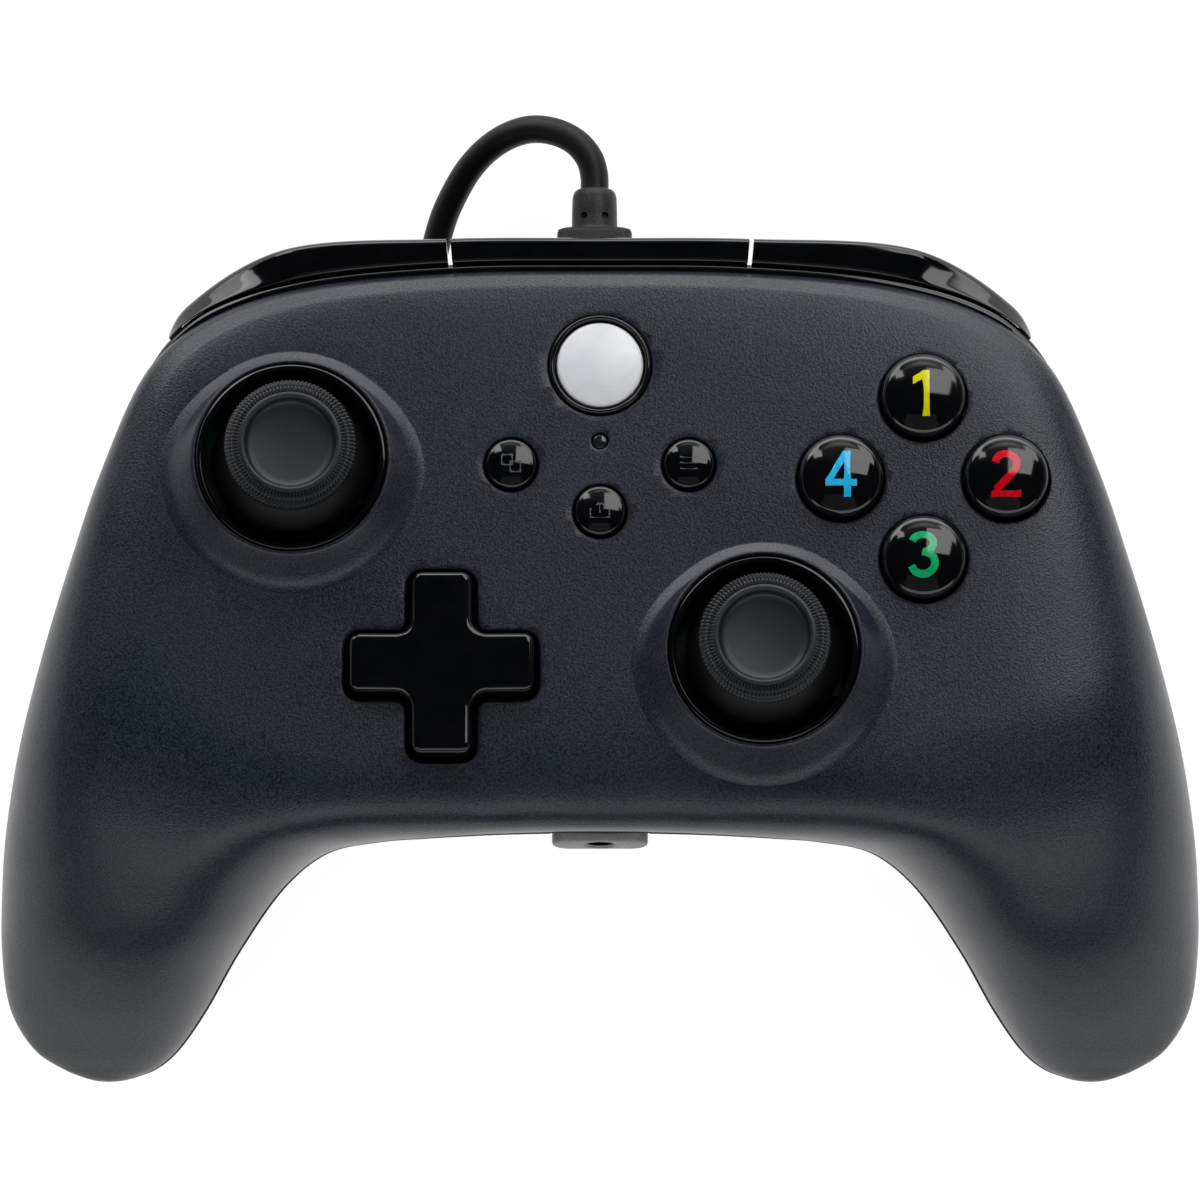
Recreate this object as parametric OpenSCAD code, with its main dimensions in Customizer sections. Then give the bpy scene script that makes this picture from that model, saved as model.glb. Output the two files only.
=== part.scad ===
// Wired gamepad, lying face up on a table with its bumpers away from the player.
// +X is to the player's right, +Y is away from the player, +Z is up, sizes in millimetres.
// The face plate is pitched towards the cable side, as such a pad lies, so most pieces are
// drawn in the face frame: its XY plane is the face plate and its Z axis is the stick axis.

/* [Body] */
// Height of the face plate's middle above the table
face_z = 42; // [41:0.5:44]
// Pitch of the face plate towards the cable side
face_pitch = 12; // [11:0.25:13]
// Thickness of the shell walls
wall = 2; // [1.6:0.1:2.4]
// Depth from the face plate to the flat underside
body_depth = 24.5; // [23.5:0.25:25.5]
// Gap between the two shells along the seam
seam_gap = 0.15; // [0.1:0.05:0.3]
// How far the front shell stands back from the rear shell's edge between the grips
seam_step = 0.3; // [0.1:0.05:0.5]

/* [Sticks] */
// Place of the left stick on the face plate
left_stick_at = [-39.2, 17.9];
// Place of the right stick on the face plate
right_stick_at = [20.8, -7];
// Diameter of the opening in the stick's ring
stick_opening_d = 22.4; // [22:0.1:23]
// Height of the collar round a stick above the face plate
collar_h = 3.4; // [2.5:0.1:4]
// Radius of the collar's foot
collar_foot_r = 15.2; // [14.8:0.1:16]
// Diameter of the thumb cap
cap_d = 16.8; // [16:0.1:17.4]
// Height of the cap's rim above the face plate
cap_top = 12; // [11.5:0.1:13]
// Depth of the stick's pivot below the face plate
stick_pivot_depth = 5; // [4.8:0.1:5.4]
// Radius of the dome under the cap
stick_dome_r = 11.4; // [11.2:0.05:11.5]
// Radius of the stick's metal shaft
stick_shaft_r = 1.5; // [1.3:0.1:1.6]

/* [Buttons] */
// Middle of the four action buttons on the face plate
action_at = [41.1, 15.85];
// Distance of each action button from that middle
action_spread = 10.5; // [10.2:0.1:11.5]
// Diameter of an action button
action_d = 10.7; // [10:0.1:11]
// Height of an action button above the face plate
action_rise = 3; // [2.4:0.1:3.4]
// Place of the home button
home_at = [0, 30.6];
// Diameter of the home button
home_d = 12; // [11:0.1:13]
// Places of the three small buttons
view_at = [-11.3, 17.6];
menu_at = [11.3, 17.6];
share_at = [0, 11.5];
// Diameter of a small button
small_d = 6.4; // [6:0.1:7]
// Gap round each button in its hole
button_gap = 0.3; // [0.25:0.05:0.4]
// Travel of an action button
action_travel = 1.5; // [1.3:0.1:1.7]

/* [Directional pad] */
// Place of the directional pad
dpad_at = [-20.1, -8.5];
// Length of the cross from end to end
dpad_span = 23.4; // [22:0.2:24]
// Width of an arm of the cross
dpad_arm = 7.6; // [7:0.1:8]
// Gap round the cross in its opening
dpad_gap = 0.75; // [0.6:0.05:0.9]
// Height of the cross above the face plate
dpad_rise = 2.6; // [2:0.1:3]

/* [Cable] */
// Diameter of the cable
cable_d = 3.6; // [3.4:0.1:3.6]
// Width of the strain relief's sleeve
relief_d = 5.8; // [5.4:0.1:6.4]

/* [Hidden] */
$fn = 48;
eps = 0.01;
table_shift = 7.75;
pitch_rise = tan(face_pitch);
// Where the grips touch the table, and how far they hang below the underside there
grip_foot_y = -41;
grip_depth = face_z - pitch_rise * grip_foot_y - body_depth / cos(face_pitch);

function mix(a, b, t) = a + (b - a) * t;
function step01(t) = let (c = max(0, min(1, t))) c * c * (3 - 2 * c);
function spline(a, b, c, d, t) =
  0.5 * (2 * b + (c - a) * t + (2 * a - 5 * b + 4 * c - d) * t * t + (3 * b - a - 3 * c + d) * t * t * t);

// Face frame to table frame
module on_face() {
  translate([0, table_shift, face_z]) rotate([-face_pitch, 0, 0]) children();
}

// Sections of the body, from the tip of the right grip to the middle of the body: outer end x and y,
// inner end x and y, seam height at the outer and inner end, fullness and squareness.
half_sections = [
  [65.4, -61.5, 60.6, -61.5, 15, 15, 0.2, 2],
  [68.6, -60.3, 57.0, -60.3, 15, 15, 0.4, 2],
  [72.6, -57.6, 53.8, -57.6, 15.3, 15.3, 0.64, 2.1],
  [75.6, -52.4, 50.2, -52.4, 16, 16.2, 0.87, 2.2],
  [76.6, -45, 46, -45, 17.5, 18, 1, 2.3],
  [76.5, -37, 40.4, -37, 19.5, 21, 1, 2.4],
  [75.9, -29.5, 34.7, -32.4, 22, 26, 1, 2.6],
  [74.2, -19.2, 28, -30.9, 24.5, 31, 1, 3],
  [71.4, -8, 22, -30.4, 26.5, 34, 1, 3.4],
  [67.8, 4, 17, -30.1, 28, 35, 1, 3.8],
  [63.4, 17, 12.5, -29.9, 28.5, 35.5, 1, 4.2],
  [57.6, 29.4, 9, -29.8, 28.5, 35.7, 1, 4.4],
  [49.5, 36, 6.5, -29.75, 28.2, 35.8, 1, 4.6],
  [37, 39.9, 4.5, -29.7, 28, 35.9, 1, 4.8],
  [19, 41.6, 2.2, -29.7, 28, 36, 1, 5],
  [0, 41.9, 0, -29.7, 28, 36, 1, 5]
];
half_count = len(half_sections) - 1;
all_sections = [
  for (i = [0 : 2 * half_count])
    let (s = half_sections[i <= half_count ? i : 2 * half_count - i], side = i <= half_count ? 1 : -1)
      [side * s[0], s[1], side * s[2], s[3], s[4], s[5], s[6], s[7]]
];
function section_at(s) =
  let (
    last = 2 * half_count,
    k = min(last - 1, floor(s)),
    row = function(i) all_sections[max(0, min(last, i))]
  )
    spline(row(k - 1), row(k), row(k + 1), row(k + 2), s - k);

// Heights of the face plate and the underside over a point of the plan
function along_grip(x, y) = 0.35 * abs(x) - 0.94 * y;
function droop(x, y) = pow(0.118 * max(0, along_grip(x, y) - 30.6), 2);
function belly(x, y) =
  grip_depth * step01((along_grip(x, y) - 10) / 52) * step01((abs(x) - 28) / 26);
function face_height(x, y) = face_z - pitch_rise * y - droop(x, y);
function under_height(x, y) =
  face_z - pitch_rise * y - body_depth / cos(face_pitch) - belly(x, y);

// One point of a shell: angle a runs from the outer end to the inner end of section s
function shell_point(s, a, up, inset, inner_back) =
  let (
    q = section_at(s),
    n = q[7],
    span = norm([q[0] - q[2], q[1] - q[3]]),
    reach = pow(abs(cos(a)), 2 / n) * (cos(a) < 0 ? -1 : 1),
    rise = pow(abs(sin(a)), 2 / n),
    from = inset / span,
    to = 1 - (inset + inner_back) / span,
    t = mix(from, to, (1 - reach) / 2),
    x = mix(q[0], q[2], t),
    y = mix(q[1], q[3], t),
    seam = mix(q[4], q[5], t) + (up ? seam_gap / 2 : -seam_gap / 2),
    skin = up ? face_height(x, y) : under_height(x, y),
    reachable = max(0.3, q[6] * abs(skin - seam) - inset)
  )
    [x, y + table_shift, seam + (up ? 1 : -1) * reachable * rise];

// A half shell between the seam and the skin, open along the seam
module half_shell(up, steps, arcs, inner_back) {
  last = 2 * half_count;
  inner_start = 1.5;
  rows = last * steps;
  outer = [
    for (j = [0 : rows]) for (i = [0 : arcs])
      shell_point(j / steps, 180 * i / arcs, up, 0, inner_back)
  ];
  inner = [
    for (j = [0 : rows]) for (i = [0 : arcs])
      let (s = j / steps, m = inner_start + s * (last - 2 * inner_start) / last)
        shell_point(m, 180 * i / arcs, up, wall, inner_back)
  ];
  across = arcs + 1;
  shift = len(outer);
  turn = function(f) up ? f : [f[2], f[1], f[0]];
  sheet = [
    for (j = [0 : rows - 1]) for (i = [0 : arcs - 1])
      let (a = j * across + i, b = a + 1, c = a + across, d = c + 1)
        each [[a, b, d], [a, d, c]]
  ];
  rim = [
    for (j = [0 : rows - 1]) for (i = [0, arcs])
      let (a = j * across + i, c = a + across, flip = i == 0)
        each flip
          ? [[a, c, c + shift], [a, c + shift, a + shift]]
          : [[c, a, a + shift], [c, a + shift, c + shift]]
  ];
  ends = [
    for (j = [0, rows])
      let (a = j * across, e = a + arcs, first = j == 0)
        each concat(
          [for (i = [1 : arcs - 1]) first ? [a, a + i + 1, a + i] : [a, a + i, a + i + 1]],
          [for (i = [1 : arcs - 1]) first
            ? [a + shift, a + i + shift, a + i + 1 + shift]
            : [a + shift, a + i + 1 + shift, a + i + shift]],
          first
            ? [[e, a, a + shift], [e, a + shift, e + shift]]
            : [[a, e, e + shift], [a, e + shift, a + shift]]
        )
  ];
  faces = concat(
    [for (f = sheet) f],
    [for (f = sheet) [f[2] + shift, f[1] + shift, f[0] + shift]],
    rim,
    ends
  );
  polyhedron(points = concat(outer, inner), faces = [for (f = faces) turn(f)], convexity = 8);
}

// A closed skin through rings of points that run right-handed about the way of travel
module skin(rings) {
  m = len(rings[0]);
  n = len(rings);
  points = [for (r = rings) each r];
  sides = [
    for (j = [0 : n - 2]) for (i = [0 : m - 1])
      let (a = j * m + i, b = j * m + (i + 1) % m, c = a + m, d = b + m)
        each [[a, d, b], [a, c, d]]
  ];
  caps = [
    for (i = [1 : m - 2])
      each [[0, i, i + 1], [(n - 1) * m, (n - 1) * m + i + 1, (n - 1) * m + i]]
  ];
  polyhedron(points = points, faces = concat(sides, caps), convexity = 6);
}
function unit(v) = v / norm(v);

// A round tube along a list of points
module tube(path, r, sides, up = [0, 0, 1]) {
  last = len(path) - 1;
  skin([
    for (i = [0 : last])
      let (
        way = unit(path[min(last, i + 1)] - path[max(0, i - 1)]),
        side = unit(cross(way, up)),
        top = cross(side, way)
      )
        [for (k = [0 : sides - 1]) path[i] + r * (cos(360 * k / sides) * side - sin(360 * k / sides) * top)]
  ]);
}
module both_sides() {
  children();
  mirror([1, 0, 0]) children();
}
module side_of(side) {
  if (side > 0) children();
  else mirror([1, 0, 0]) children();
}
module face_hole(at, r, top, bottom) {
  translate([at[0], at[1], bottom]) cylinder(r = r, h = top - bottom);
}

// Levels in the face frame
board_top = -(stick_pivot_depth + 6);
board_t = 1.6;
inner_face = -wall / cos(face_pitch);
pad_t = 1.1;
pad_rise = action_travel - 0.2;
pad_play = 0.05;
plunger_end = board_top + pad_t + pad_rise + pad_play;
flange_top = -4.4;
flange_t = 0.9;
floor_level = -body_depth + wall;
// Height of the inner floor under a point of the face plate
function floor_under(p, z, rounds) =
  rounds == 0 ? z : floor_under(
    p,
    (under_height(p[0], cos(face_pitch) * p[1] + sin(face_pitch) * z) + wall - face_z
      + sin(face_pitch) * p[1]) / cos(face_pitch),
    rounds - 1
  );
function floor_at(p) = floor_under(p, floor_level, 4);

// Sticks: sizes from the pivot, which lies on the stick's axis
stick_hole_r = stick_opening_d / 2 + 1.05;
collar_rim_r = stick_hole_r + 0.5;
dome_t = 0.8;
cap_rim_top = cap_top + stick_pivot_depth;
cap_under = cap_rim_top - 3;
neck_r = 4.2;
pin_gap = 0.05;
rocker_arch_r = 6.1;
rocker_arch_t = 1.1;
rocker_gap = 0.3;
// The fixed frame goes round the rocker
module_r = 9.6;
module_wall = 1.4;
module_w = 2 * (rocker_arch_r + rocker_gap + module_wall);
module_top = 2.2;
trunnion_r = 1;
trunnion_end = module_w / 2 - 0.2;
gimbal_l = 10;
gimbal_w = 8;
gimbal_h = 3.4;
gimbal_wall = 1.5;
pivot_r = 2.3;
pivot_pin_r = 0.8;

module at_stick(at) {
  on_face() translate([at[0], at[1], -stick_pivot_depth]) children();
}
module collar(at) {
  steps = 8;
  slope = [
    for (i = [0 : steps])
      [mix(collar_foot_r, collar_rim_r, i / steps), mix(-0.9, collar_h, step01(i / steps))]
  ];
  on_face() translate([at[0], at[1], 0])
    rotate_extrude($fn = 64)
      polygon(concat(
        [[stick_hole_r - 0.6, -3.4], [collar_foot_r - 1, -3.4]],
        slope,
        [[stick_hole_r - 0.6, collar_h]]
      ));
}
module stick_ring(at) {
  outer = stick_hole_r - 0.1;
  bore = stick_opening_d / 2;
  color("#0b0c0e") on_face() translate([at[0], at[1], 0])
    rotate_extrude($fn = 64)
      polygon([
        [bore + 0.45, -3], [outer, -3], [outer, collar_h - 0.5], [outer - 0.3, collar_h - 0.2],
        [bore + 0.15, collar_h - 0.2], [bore, collar_h - 0.5], [bore, collar_h - 1.4]
      ]);
}
module stick_cap(at) {
  cap_r = cap_d / 2;
  dome_end = 62;
  neck_a = asin(neck_r / stick_dome_r);
  inner_r = stick_dome_r - dome_t;
  boss_r = stick_shaft_r + 1;
  boss_a = asin(boss_r / inner_r);
  bore = stick_shaft_r + pin_gap;
  steps = 6;
  dome = [
    for (i = [0 : steps])
      let (a = mix(neck_a, dome_end, i / steps)) stick_dome_r * [sin(a), cos(a)]
  ];
  hollow = [
    for (i = [0 : steps])
      let (a = mix(dome_end, boss_a, i / steps)) inner_r * [sin(a), cos(a)]
  ];
  dish = [
    for (i = [0 : steps])
      let (r = mix(0, cap_r * 0.72, i / steps)) [r, cap_rim_top - 0.9 * (1 - pow(i / steps, 2)) - 0.25]
  ];
  color("#26282b") at_stick(at) rotate_extrude($fn = 64)
    polygon(concat(
      dish,
      [[cap_r * 0.78, cap_rim_top], [cap_r - 0.7, cap_rim_top], [cap_r, cap_rim_top - 0.7]],
      [[cap_r, cap_under + 0.5], [cap_r - 0.5, cap_under], [neck_r + 0.8, cap_under - 0.3]],
      [[neck_r, cap_under - 1.1]],
      dome,
      hollow,
      [[boss_r, 8.8], [bore, 8.8], [bore, cap_under + 0.6], [0, cap_under + 0.6]]
    ));
}
module stick_shaft(at) {
  foot = 2.6;
  color("#b9bcc0") at_stick(at) translate([0, 0, -foot])
    cylinder(r = stick_shaft_r, h = foot + cap_under + 0.5);
}
// Block that turns in the gimbal and guides the shaft
module stick_pivot(at) {
  color("#8a8d92") at_stick(at) difference() {
    union() {
      translate([0, 0, -gimbal_h / 2]) cylinder(r = pivot_r, h = gimbal_h);
      rotate([90, 0, 0]) cylinder(r = pivot_pin_r, h = gimbal_w - 0.6, center = true);
    }
    cylinder(r = stick_shaft_r + pin_gap, h = 2 * gimbal_h, center = true);
  }
}
// Frame that tips about X and carries the pivot block
module stick_gimbal(at) {
  color("#d8d8d4") at_stick(at) difference() {
    union() {
      cube([gimbal_l, gimbal_w, gimbal_h], center = true);
      rotate([0, 90, 0]) cylinder(r = trunnion_r, h = 2 * trunnion_end, center = true);
    }
    cube([gimbal_l - 2 * gimbal_wall, gimbal_w - 2 * gimbal_wall, 2 * gimbal_h], center = true);
    rotate([90, 0, 0]) cylinder(r = pivot_pin_r + pin_gap, h = 2 * gimbal_w, center = true);
  }
}
// Slotted arch that tips about Y as the shaft pushes it
module stick_rocker(at) {
  slot = stick_shaft_r + 0.25;
  color("#c9c9c4") at_stick(at) difference() {
    union() {
      rotate([0, 90, 0]) cylinder(r = rocker_arch_r, h = 5, center = true);
      rotate([90, 0, 0]) cylinder(r = trunnion_r, h = 2 * trunnion_end, center = true);
    }
    rotate([0, 90, 0]) cylinder(r = rocker_arch_r - rocker_arch_t, h = 6, center = true);
    translate([-5, -10, -20]) cube([10, 20, 20 - trunnion_r]);
    translate([-slot, -4, 2]) cube([2 * slot, 8, 8]);
  }
}
// Fixed frame of the stick, with its two sensors and the switch under the shaft
module stick_module(at) {
  depth = board_top + stick_pivot_depth;
  inside = module_w - 2 * module_wall;
  color("#5f6368") at_stick(at) difference() {
    union() {
      intersection() {
        translate([-module_w / 2, -module_w / 2, depth]) cube([module_w, module_w, module_top - depth]);
        translate([0, 0, depth]) cylinder(r = module_r, h = module_top - depth);
      }
      translate([module_w / 2 - eps, -4, depth]) cube([2.6, 8, 4]);
      translate([-4, module_w / 2 - eps, depth]) cube([8, 2.6, 4]);
    }
    translate([-inside / 2, -inside / 2, depth + 1.2]) cube([inside, inside, 20]);
    for (a = [0, 90]) rotate([0, 0, a]) rotate([0, 90, 0])
      cylinder(r = trunnion_r + pin_gap, h = module_w + 1, center = true);
  }
}

// Buttons
action_places = [
  for (a = [90, 180, 0, 270]) action_at + action_spread * [cos(a), sin(a)]
];
module button(at, d, rise, crown, tint) {
  r = d / 2;
  steps = 5;
  top = [
    for (i = [0 : steps])
      let (t = i / steps) [r * 0.9 * t, rise - crown * t * t]
  ];
  edge = rise - crown;
  color(tint) on_face() translate([at[0], at[1], 0]) rotate_extrude()
    polygon(concat(
      top,
      [[r * 0.97, edge - r * 0.05], [r, edge - r * 0.14], [r, flange_top], [r + 0.9, flange_top]],
      [[r + 0.9, flange_top - flange_t], [r * 0.5, flange_top - flange_t]],
      [[r * 0.5, plunger_end], [0, plunger_end]]
    ));
}
module home_bezel() {
  bore = home_d / 2 - 0.2;
  color("#08090a") on_face() translate([home_at[0], home_at[1], 0]) rotate_extrude()
    polygon([
      [bore, -2.6], [home_d / 2 + 0.5, -2.6], [home_d / 2 + 0.5, -0.2], [home_d / 2 + 0.2, 0.35],
      [bore + 0.3, 0.35], [bore, 0]
    ]);
}
home_disc_d = home_d - 0.4 - 2 * button_gap;
status_light_at = [0, (home_at[1] + share_at[1]) / 2 - 0.35];
status_light_r = 1;
module status_light() {
  color("#3a3d42") on_face() face_hole(status_light_at, status_light_r, -0.3, board_top);
}

// Directional pad
module cross_shape(span, arm, r) {
  for (a = [0, 90]) rotate(a) {
    square([span, arm - 2 * r], center = true);
    square([span - 2 * r, arm], center = true);
    for (x = [-1, 1], y = [-1, 1]) translate([x * (span / 2 - r), y * (arm / 2 - r)]) circle(r);
  }
  difference() {
    square(arm + 2.4, center = true);
    for (x = [-1, 1], y = [-1, 1]) translate([x, y] * (arm / 2 + 1.2)) circle(1.2);
  }
}
dpad_skirt = -3.6;
module dpad_cap() {
  color("#0c0d10") on_face() translate([dpad_at[0], dpad_at[1], 0]) {
    translate([0, 0, dpad_skirt]) linear_extrude(dpad_rise - 1 - dpad_skirt)
      cross_shape(dpad_span, dpad_arm, 1.3);
    translate([0, 0, dpad_rise - 1 - eps]) linear_extrude(0.6)
      cross_shape(dpad_span - 0.5, dpad_arm - 0.5, 1.1);
    translate([0, 0, dpad_rise - 0.4 - eps]) linear_extrude(0.4)
      cross_shape(dpad_span - 1.3, dpad_arm - 1.3, 0.8);
    translate([0, 0, flange_top - flange_t]) cylinder(r = 8.6, h = flange_t + 1);
    for (a = [0 : 90 : 270]) rotate(a)
      translate([8.4, 0, plunger_end]) cylinder(r = 1.7, h = flange_top - plunger_end);
  }
}
// Peg under the cross, on which it rocks
module dpad_pivot() {
  color("#3b3d40") on_face() translate([dpad_at[0], dpad_at[1], 0])
    face_hole([0, 0], 2, flange_top - flange_t - 0.25, board_top + pad_t + pad_play);
}

// Silicone pads on the board
module pad_dome(at, r) {
  translate([at[0], at[1], board_top + pad_t - eps]) cylinder(r1 = r, r2 = r * 0.75, h = pad_rise + eps);
}
module action_pad() {
  color("#9a9c9e") on_face() {
    face_hole(action_at, action_spread + 5, board_top + pad_t, board_top);
    for (p = action_places) pad_dome(p, 3.6);
  }
}
module dpad_pad() {
  color("#9a9c9e") on_face() {
    face_hole(dpad_at, 11.4, board_top + pad_t, board_top);
    for (a = [0 : 90 : 270]) pad_dome(dpad_at + 8.4 * [cos(a), sin(a)], 2.6);
  }
}
module menu_pad() {
  color("#9a9c9e") on_face() {
    difference() {
      translate([view_at[0] - 3.5, share_at[1] - 3.5, board_top])
        cube([menu_at[0] - view_at[0] + 7, home_at[1] - share_at[1], pad_t]);
      face_hole(status_light_at, status_light_r + 0.6, 0, board_top - 1);
    }
    for (p = [view_at, menu_at, share_at]) pad_dome(p, 2.4);
  }
}
module home_switch() {
  color("#202124") on_face() {
    translate([home_at[0] - 3, home_at[1] - 2.9, board_top]) cube([6, 5.8, 1.2]);
    translate([home_at[0], home_at[1], board_top]) cylinder(r = 1.7, h = pad_t + pad_rise);
  }
}

// Main board
board_side = [[22, -21], [46, 1], [49, 5], [57, 9], [58, 20], [52, 30], [42, 34]];
board_outline = concat(
  board_side,
  [for (i = [len(board_side) - 1 : -1 : 0]) [-board_side[i][0], board_side[i][1]]]
);
board_posts = [[36, -5], [-36, -5], [24, 26], [-24, 26]];
module main_board() {
  color("#14532d") on_face() difference() {
    translate([0, 0, board_top - board_t]) linear_extrude(board_t) polygon(board_outline);
    for (p = board_posts) face_hole(p, 1.2, 0, board_top - 5);
    for (p = shell_bosses) face_hole(p, boss_r + 0.4, 0, board_top - 5);
  }
}
module board_screws() {
  color("#a8abb0") on_face() for (p = board_posts) {
    face_hole(p, 2, board_top + 1.2, board_top);
    face_hole(p, 0.75, board_top + eps, board_top - 6);
  }
}

// Bosses and screws that close the shells
shell_bosses = [[26, 33], [-26, 33], [53, 0], [-53, 0], [33, -16], [-33, -16]];
boss_r = 2.8;
boss_split = board_top - 3;
screw_r = 0.9;
screw_head_r = 2.2;
module shell_screws() {
  color("#6d7075") on_face() for (p = shell_bosses) {
    face_hole(p, screw_head_r, floor_at(p) + 2, floor_at(p) + 0.4);
    face_hole(p, screw_r, -6, floor_at(p) + 1.9);
  }
}

// Triggers: profile in the face frame's YZ plane
trigger_at = [41, -18.8];
trigger_from = 25.6;
trigger_to = 42;
trigger_pin_r = 1.2;
trigger_hub_r = 2.6;
trigger_arm = [
  [38.9, -17.4], [42, -16.1], [45.4, -16.1], [48.4, -17.2], [48.6, -19.6], [46.2, -21.4], [41.4, -21.4]
];
// Section of the finger face: distance outside the bumper's edge, height above the table. It starts at a
// point that sees all the others, because its ends are closed by a fan from there.
trigger_face = [
  [-5, 12], [-4.7, 9], [-3.6, 5.8], [-1.9, 3.6], [-0.5, 4.2], [-1.1, 6.6], [-2.2, 9.4], [-2.5, 12.2],
  [-1.8, 14.8], [-2, 16], [-3.2, 16.6], [-4.7, 16.6], [-5.3, 15.4]
];
trigger_face_span = [13.66, 11.98];
function face_depth(s) = mix(1, 0.45, step01(13 - s));
function closed_spline(points, steps) =
  let (n = len(points))
    [
      for (i = [0 : n - 1]) for (k = [0 : steps - 1])
        spline(points[(i + n - 1) % n], points[i], points[(i + 1) % n], points[(i + 2) % n], k / steps)
    ];
module along_x(from, to) {
  translate([from, 0, 0]) rotate([90, 0, 90]) linear_extrude(to - from) children();
}
module trigger(side) {
  steps = 18;
  color("#0d0e10") side_of(side) difference() {
    union() {
      on_face() along_x(trigger_from, trigger_to) {
        polygon(closed_spline(trigger_arm, 4));
        translate(trigger_at) circle(trigger_hub_r);
      }
      skin([
        for (j = [0 : steps])
          let (s = mix(trigger_face_span[0], trigger_face_span[1], j / steps))
            [
              for (p = trigger_face)
                concat(bumper_line(s) + [0, table_shift] + p[0] * face_depth(s) * edge_normal(s), p[1])
            ]
      ]);
    }
    on_face() along_x(trigger_from - 1, trigger_to + 1) translate(trigger_at) circle(trigger_pin_r + pin_gap);
    on_face() along_x(30, 35.4) translate(trigger_at) circle(trigger_hub_r + 0.5);
  }
}
module trigger_pin(side) {
  color("#b9bcc0") side_of(side) on_face()
    along_x(trigger_from - 2, trigger_to + 2) translate(trigger_at) circle(trigger_pin_r);
}
// Torsion spring round the pin, with a leg on the rear shell and a leg on the trigger
module trigger_spring(side) {
  turns = 3;
  rings = 10;
  wire = 0.3;
  r = trigger_pin_r + 1;
  from = 31;
  to = 34.6;
  low = trigger_at[1] - r;
  coil = [
    for (i = [0 : turns * rings])
      let (a = 360 * i / rings - 90)
        [mix(from, to, i / (turns * rings)), trigger_at[0] + r * cos(a), trigger_at[1] + r * sin(a)]
  ];
  floor_leg = [[from, 34, floor_level + 1.15], [from, 36.6, floor_level + 1.7], [from, 39, low + 0.05]];
  face_leg = [[to, 42.2, low - 1], [to, 43.4, low - 1.2], [to, 45.6, low - 1.2]];
  color("#c4c7ca") side_of(side) on_face() tube(concat(floor_leg, coil, face_leg), wire, 6, [1, 0, 0]);
}
module trigger_ears() {
  both_sides() on_face() for (x = [trigger_from - 2.3, trigger_to + 0.3])
    translate([x, 0, 0]) along_x(0, 2)
      polygon([[36, -23], [41, -21.3], [42.9, -20], [42.9, -17.6], [41, -16.3], [36, -15]]);
}
module trigger_wells() {
  both_sides() on_face() {
    along_x(trigger_from - 0.3, trigger_to + 0.3)
      polygon([[37, -14.4], [60, -14.4], [60, -40], [41, -40], [37, -23]]);
  }
}

// Bands along the cable side: trim strip, then the bumpers and the bridge between them
trim_edge = [[57.9, 29.9], [50.3, 36.8], [37.4, 40.95], [19, 42.75], [0, 43]];
bumper_edge = [[55.9, 31], [52.6, 37.6], [40, 44.8], [19.3, 46.1], [0, 46.2]];
band_first = 11;
function band_row(rows, i) = i <= 4 ? rows[max(0, i)] : [-rows[max(0, 8 - i)][0], rows[max(0, 8 - i)][1]];
function band_point(rows, s) =
  let (p = s - band_first, k = max(0, min(7, floor(p))))
    spline(band_row(rows, k - 1), band_row(rows, k), band_row(rows, k + 1), band_row(rows, k + 2), p - k);
function shell_edge(s) = let (q = section_at(s)) [q[0], q[1]];
function seam_at(s) = section_at(s)[4];
// A ring of the band between two lines of the plan, through profile points [share across, height]
function band_ring(inner, outer, gap, profile) =
  let (way = unit(outer - inner))
    [
      for (p = profile)
        let (at = mix(inner + gap * way, outer, p[0])) [at[0], at[1] + table_shift, p[1]]
    ];
module band(from, to, steps, inner_line, outer_line, gap, profile) {
  skin([
    for (j = [0 : steps])
      let (s = mix(from, to, j / steps))
        band_ring(inner_line(s), outer_line(s), gap, profile(s))
  ]);
}
trim_line = function(s) band_point(trim_edge, s);
bumper_line = function(s) band_point(bumper_edge, s);
edge_line = function(s) shell_edge(s);
function edge_normal(s) = let (w = unit(bumper_line(s - 0.05) - bumper_line(s + 0.05))) [-w[1], w[0]];
bumper_low = 18.6;
bumper_high = 29.4;
trim_profile = function(s)
  let (z = seam_at(s)) [[1, z - 4], [1, z + 0.7], [0.8, z + 1.2], [0.1, z + 1.3], [0, z + 1], [0, z - 4]];
bumper_profile = function(s)
  let (lo = bumper_low, hi = bumper_high) [
    [0.7, lo], [0.96, lo + 0.8], [1, lo + 2.4], [1, hi - 3.4], [0.97, hi - 2.2], [0.88, hi - 1.1],
    [0.7, hi - 0.35], [0.3, hi], [0.06, hi - 0.1], [0, hi - 0.5], [0, lo]
  ];
bumper_gap = 0.28;
bridge_reach = 0.985;
bumper_start = 13.975;
bumper_end = 11.5;
// Pin of a bumper in plan coordinates and height, and its two ends along Y
bumper_pin_at = [21.6, 25.8];
bumper_pin_ends = [41.8, 45];
bumper_pin_r = 0.9;
module bumper_axis(from, to, r) {
  translate([bumper_pin_at[0], from + table_shift, bumper_pin_at[1]])
    rotate([-90, 0, 0]) cylinder(r = r, h = to - from);
}
module top_trim() {
  color("#07080a") {
    band(18.9, 11.1, 44, edge_line, trim_line, 0.15, trim_profile);
    both_sides() bumper_axis(bumper_pin_ends[0], bumper_pin_ends[1], bumper_pin_r);
  }
}
module bumper(side) {
  color("#0a0b0d") side_of(side) difference() {
    band(bumper_start, bumper_end, 22, trim_line, bumper_line, bumper_gap, bumper_profile);
    bumper_axis(bumper_pin_ends[0] - 2, bumper_pin_ends[1] + 0.3, bumper_pin_r + pin_gap);
  }
}
module bumper_bridge() {
  color("#0a0b0d")
    band(15 + bridge_reach, 15 - bridge_reach, 12, trim_line, bumper_line, bumper_gap, bumper_profile);
}
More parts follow.
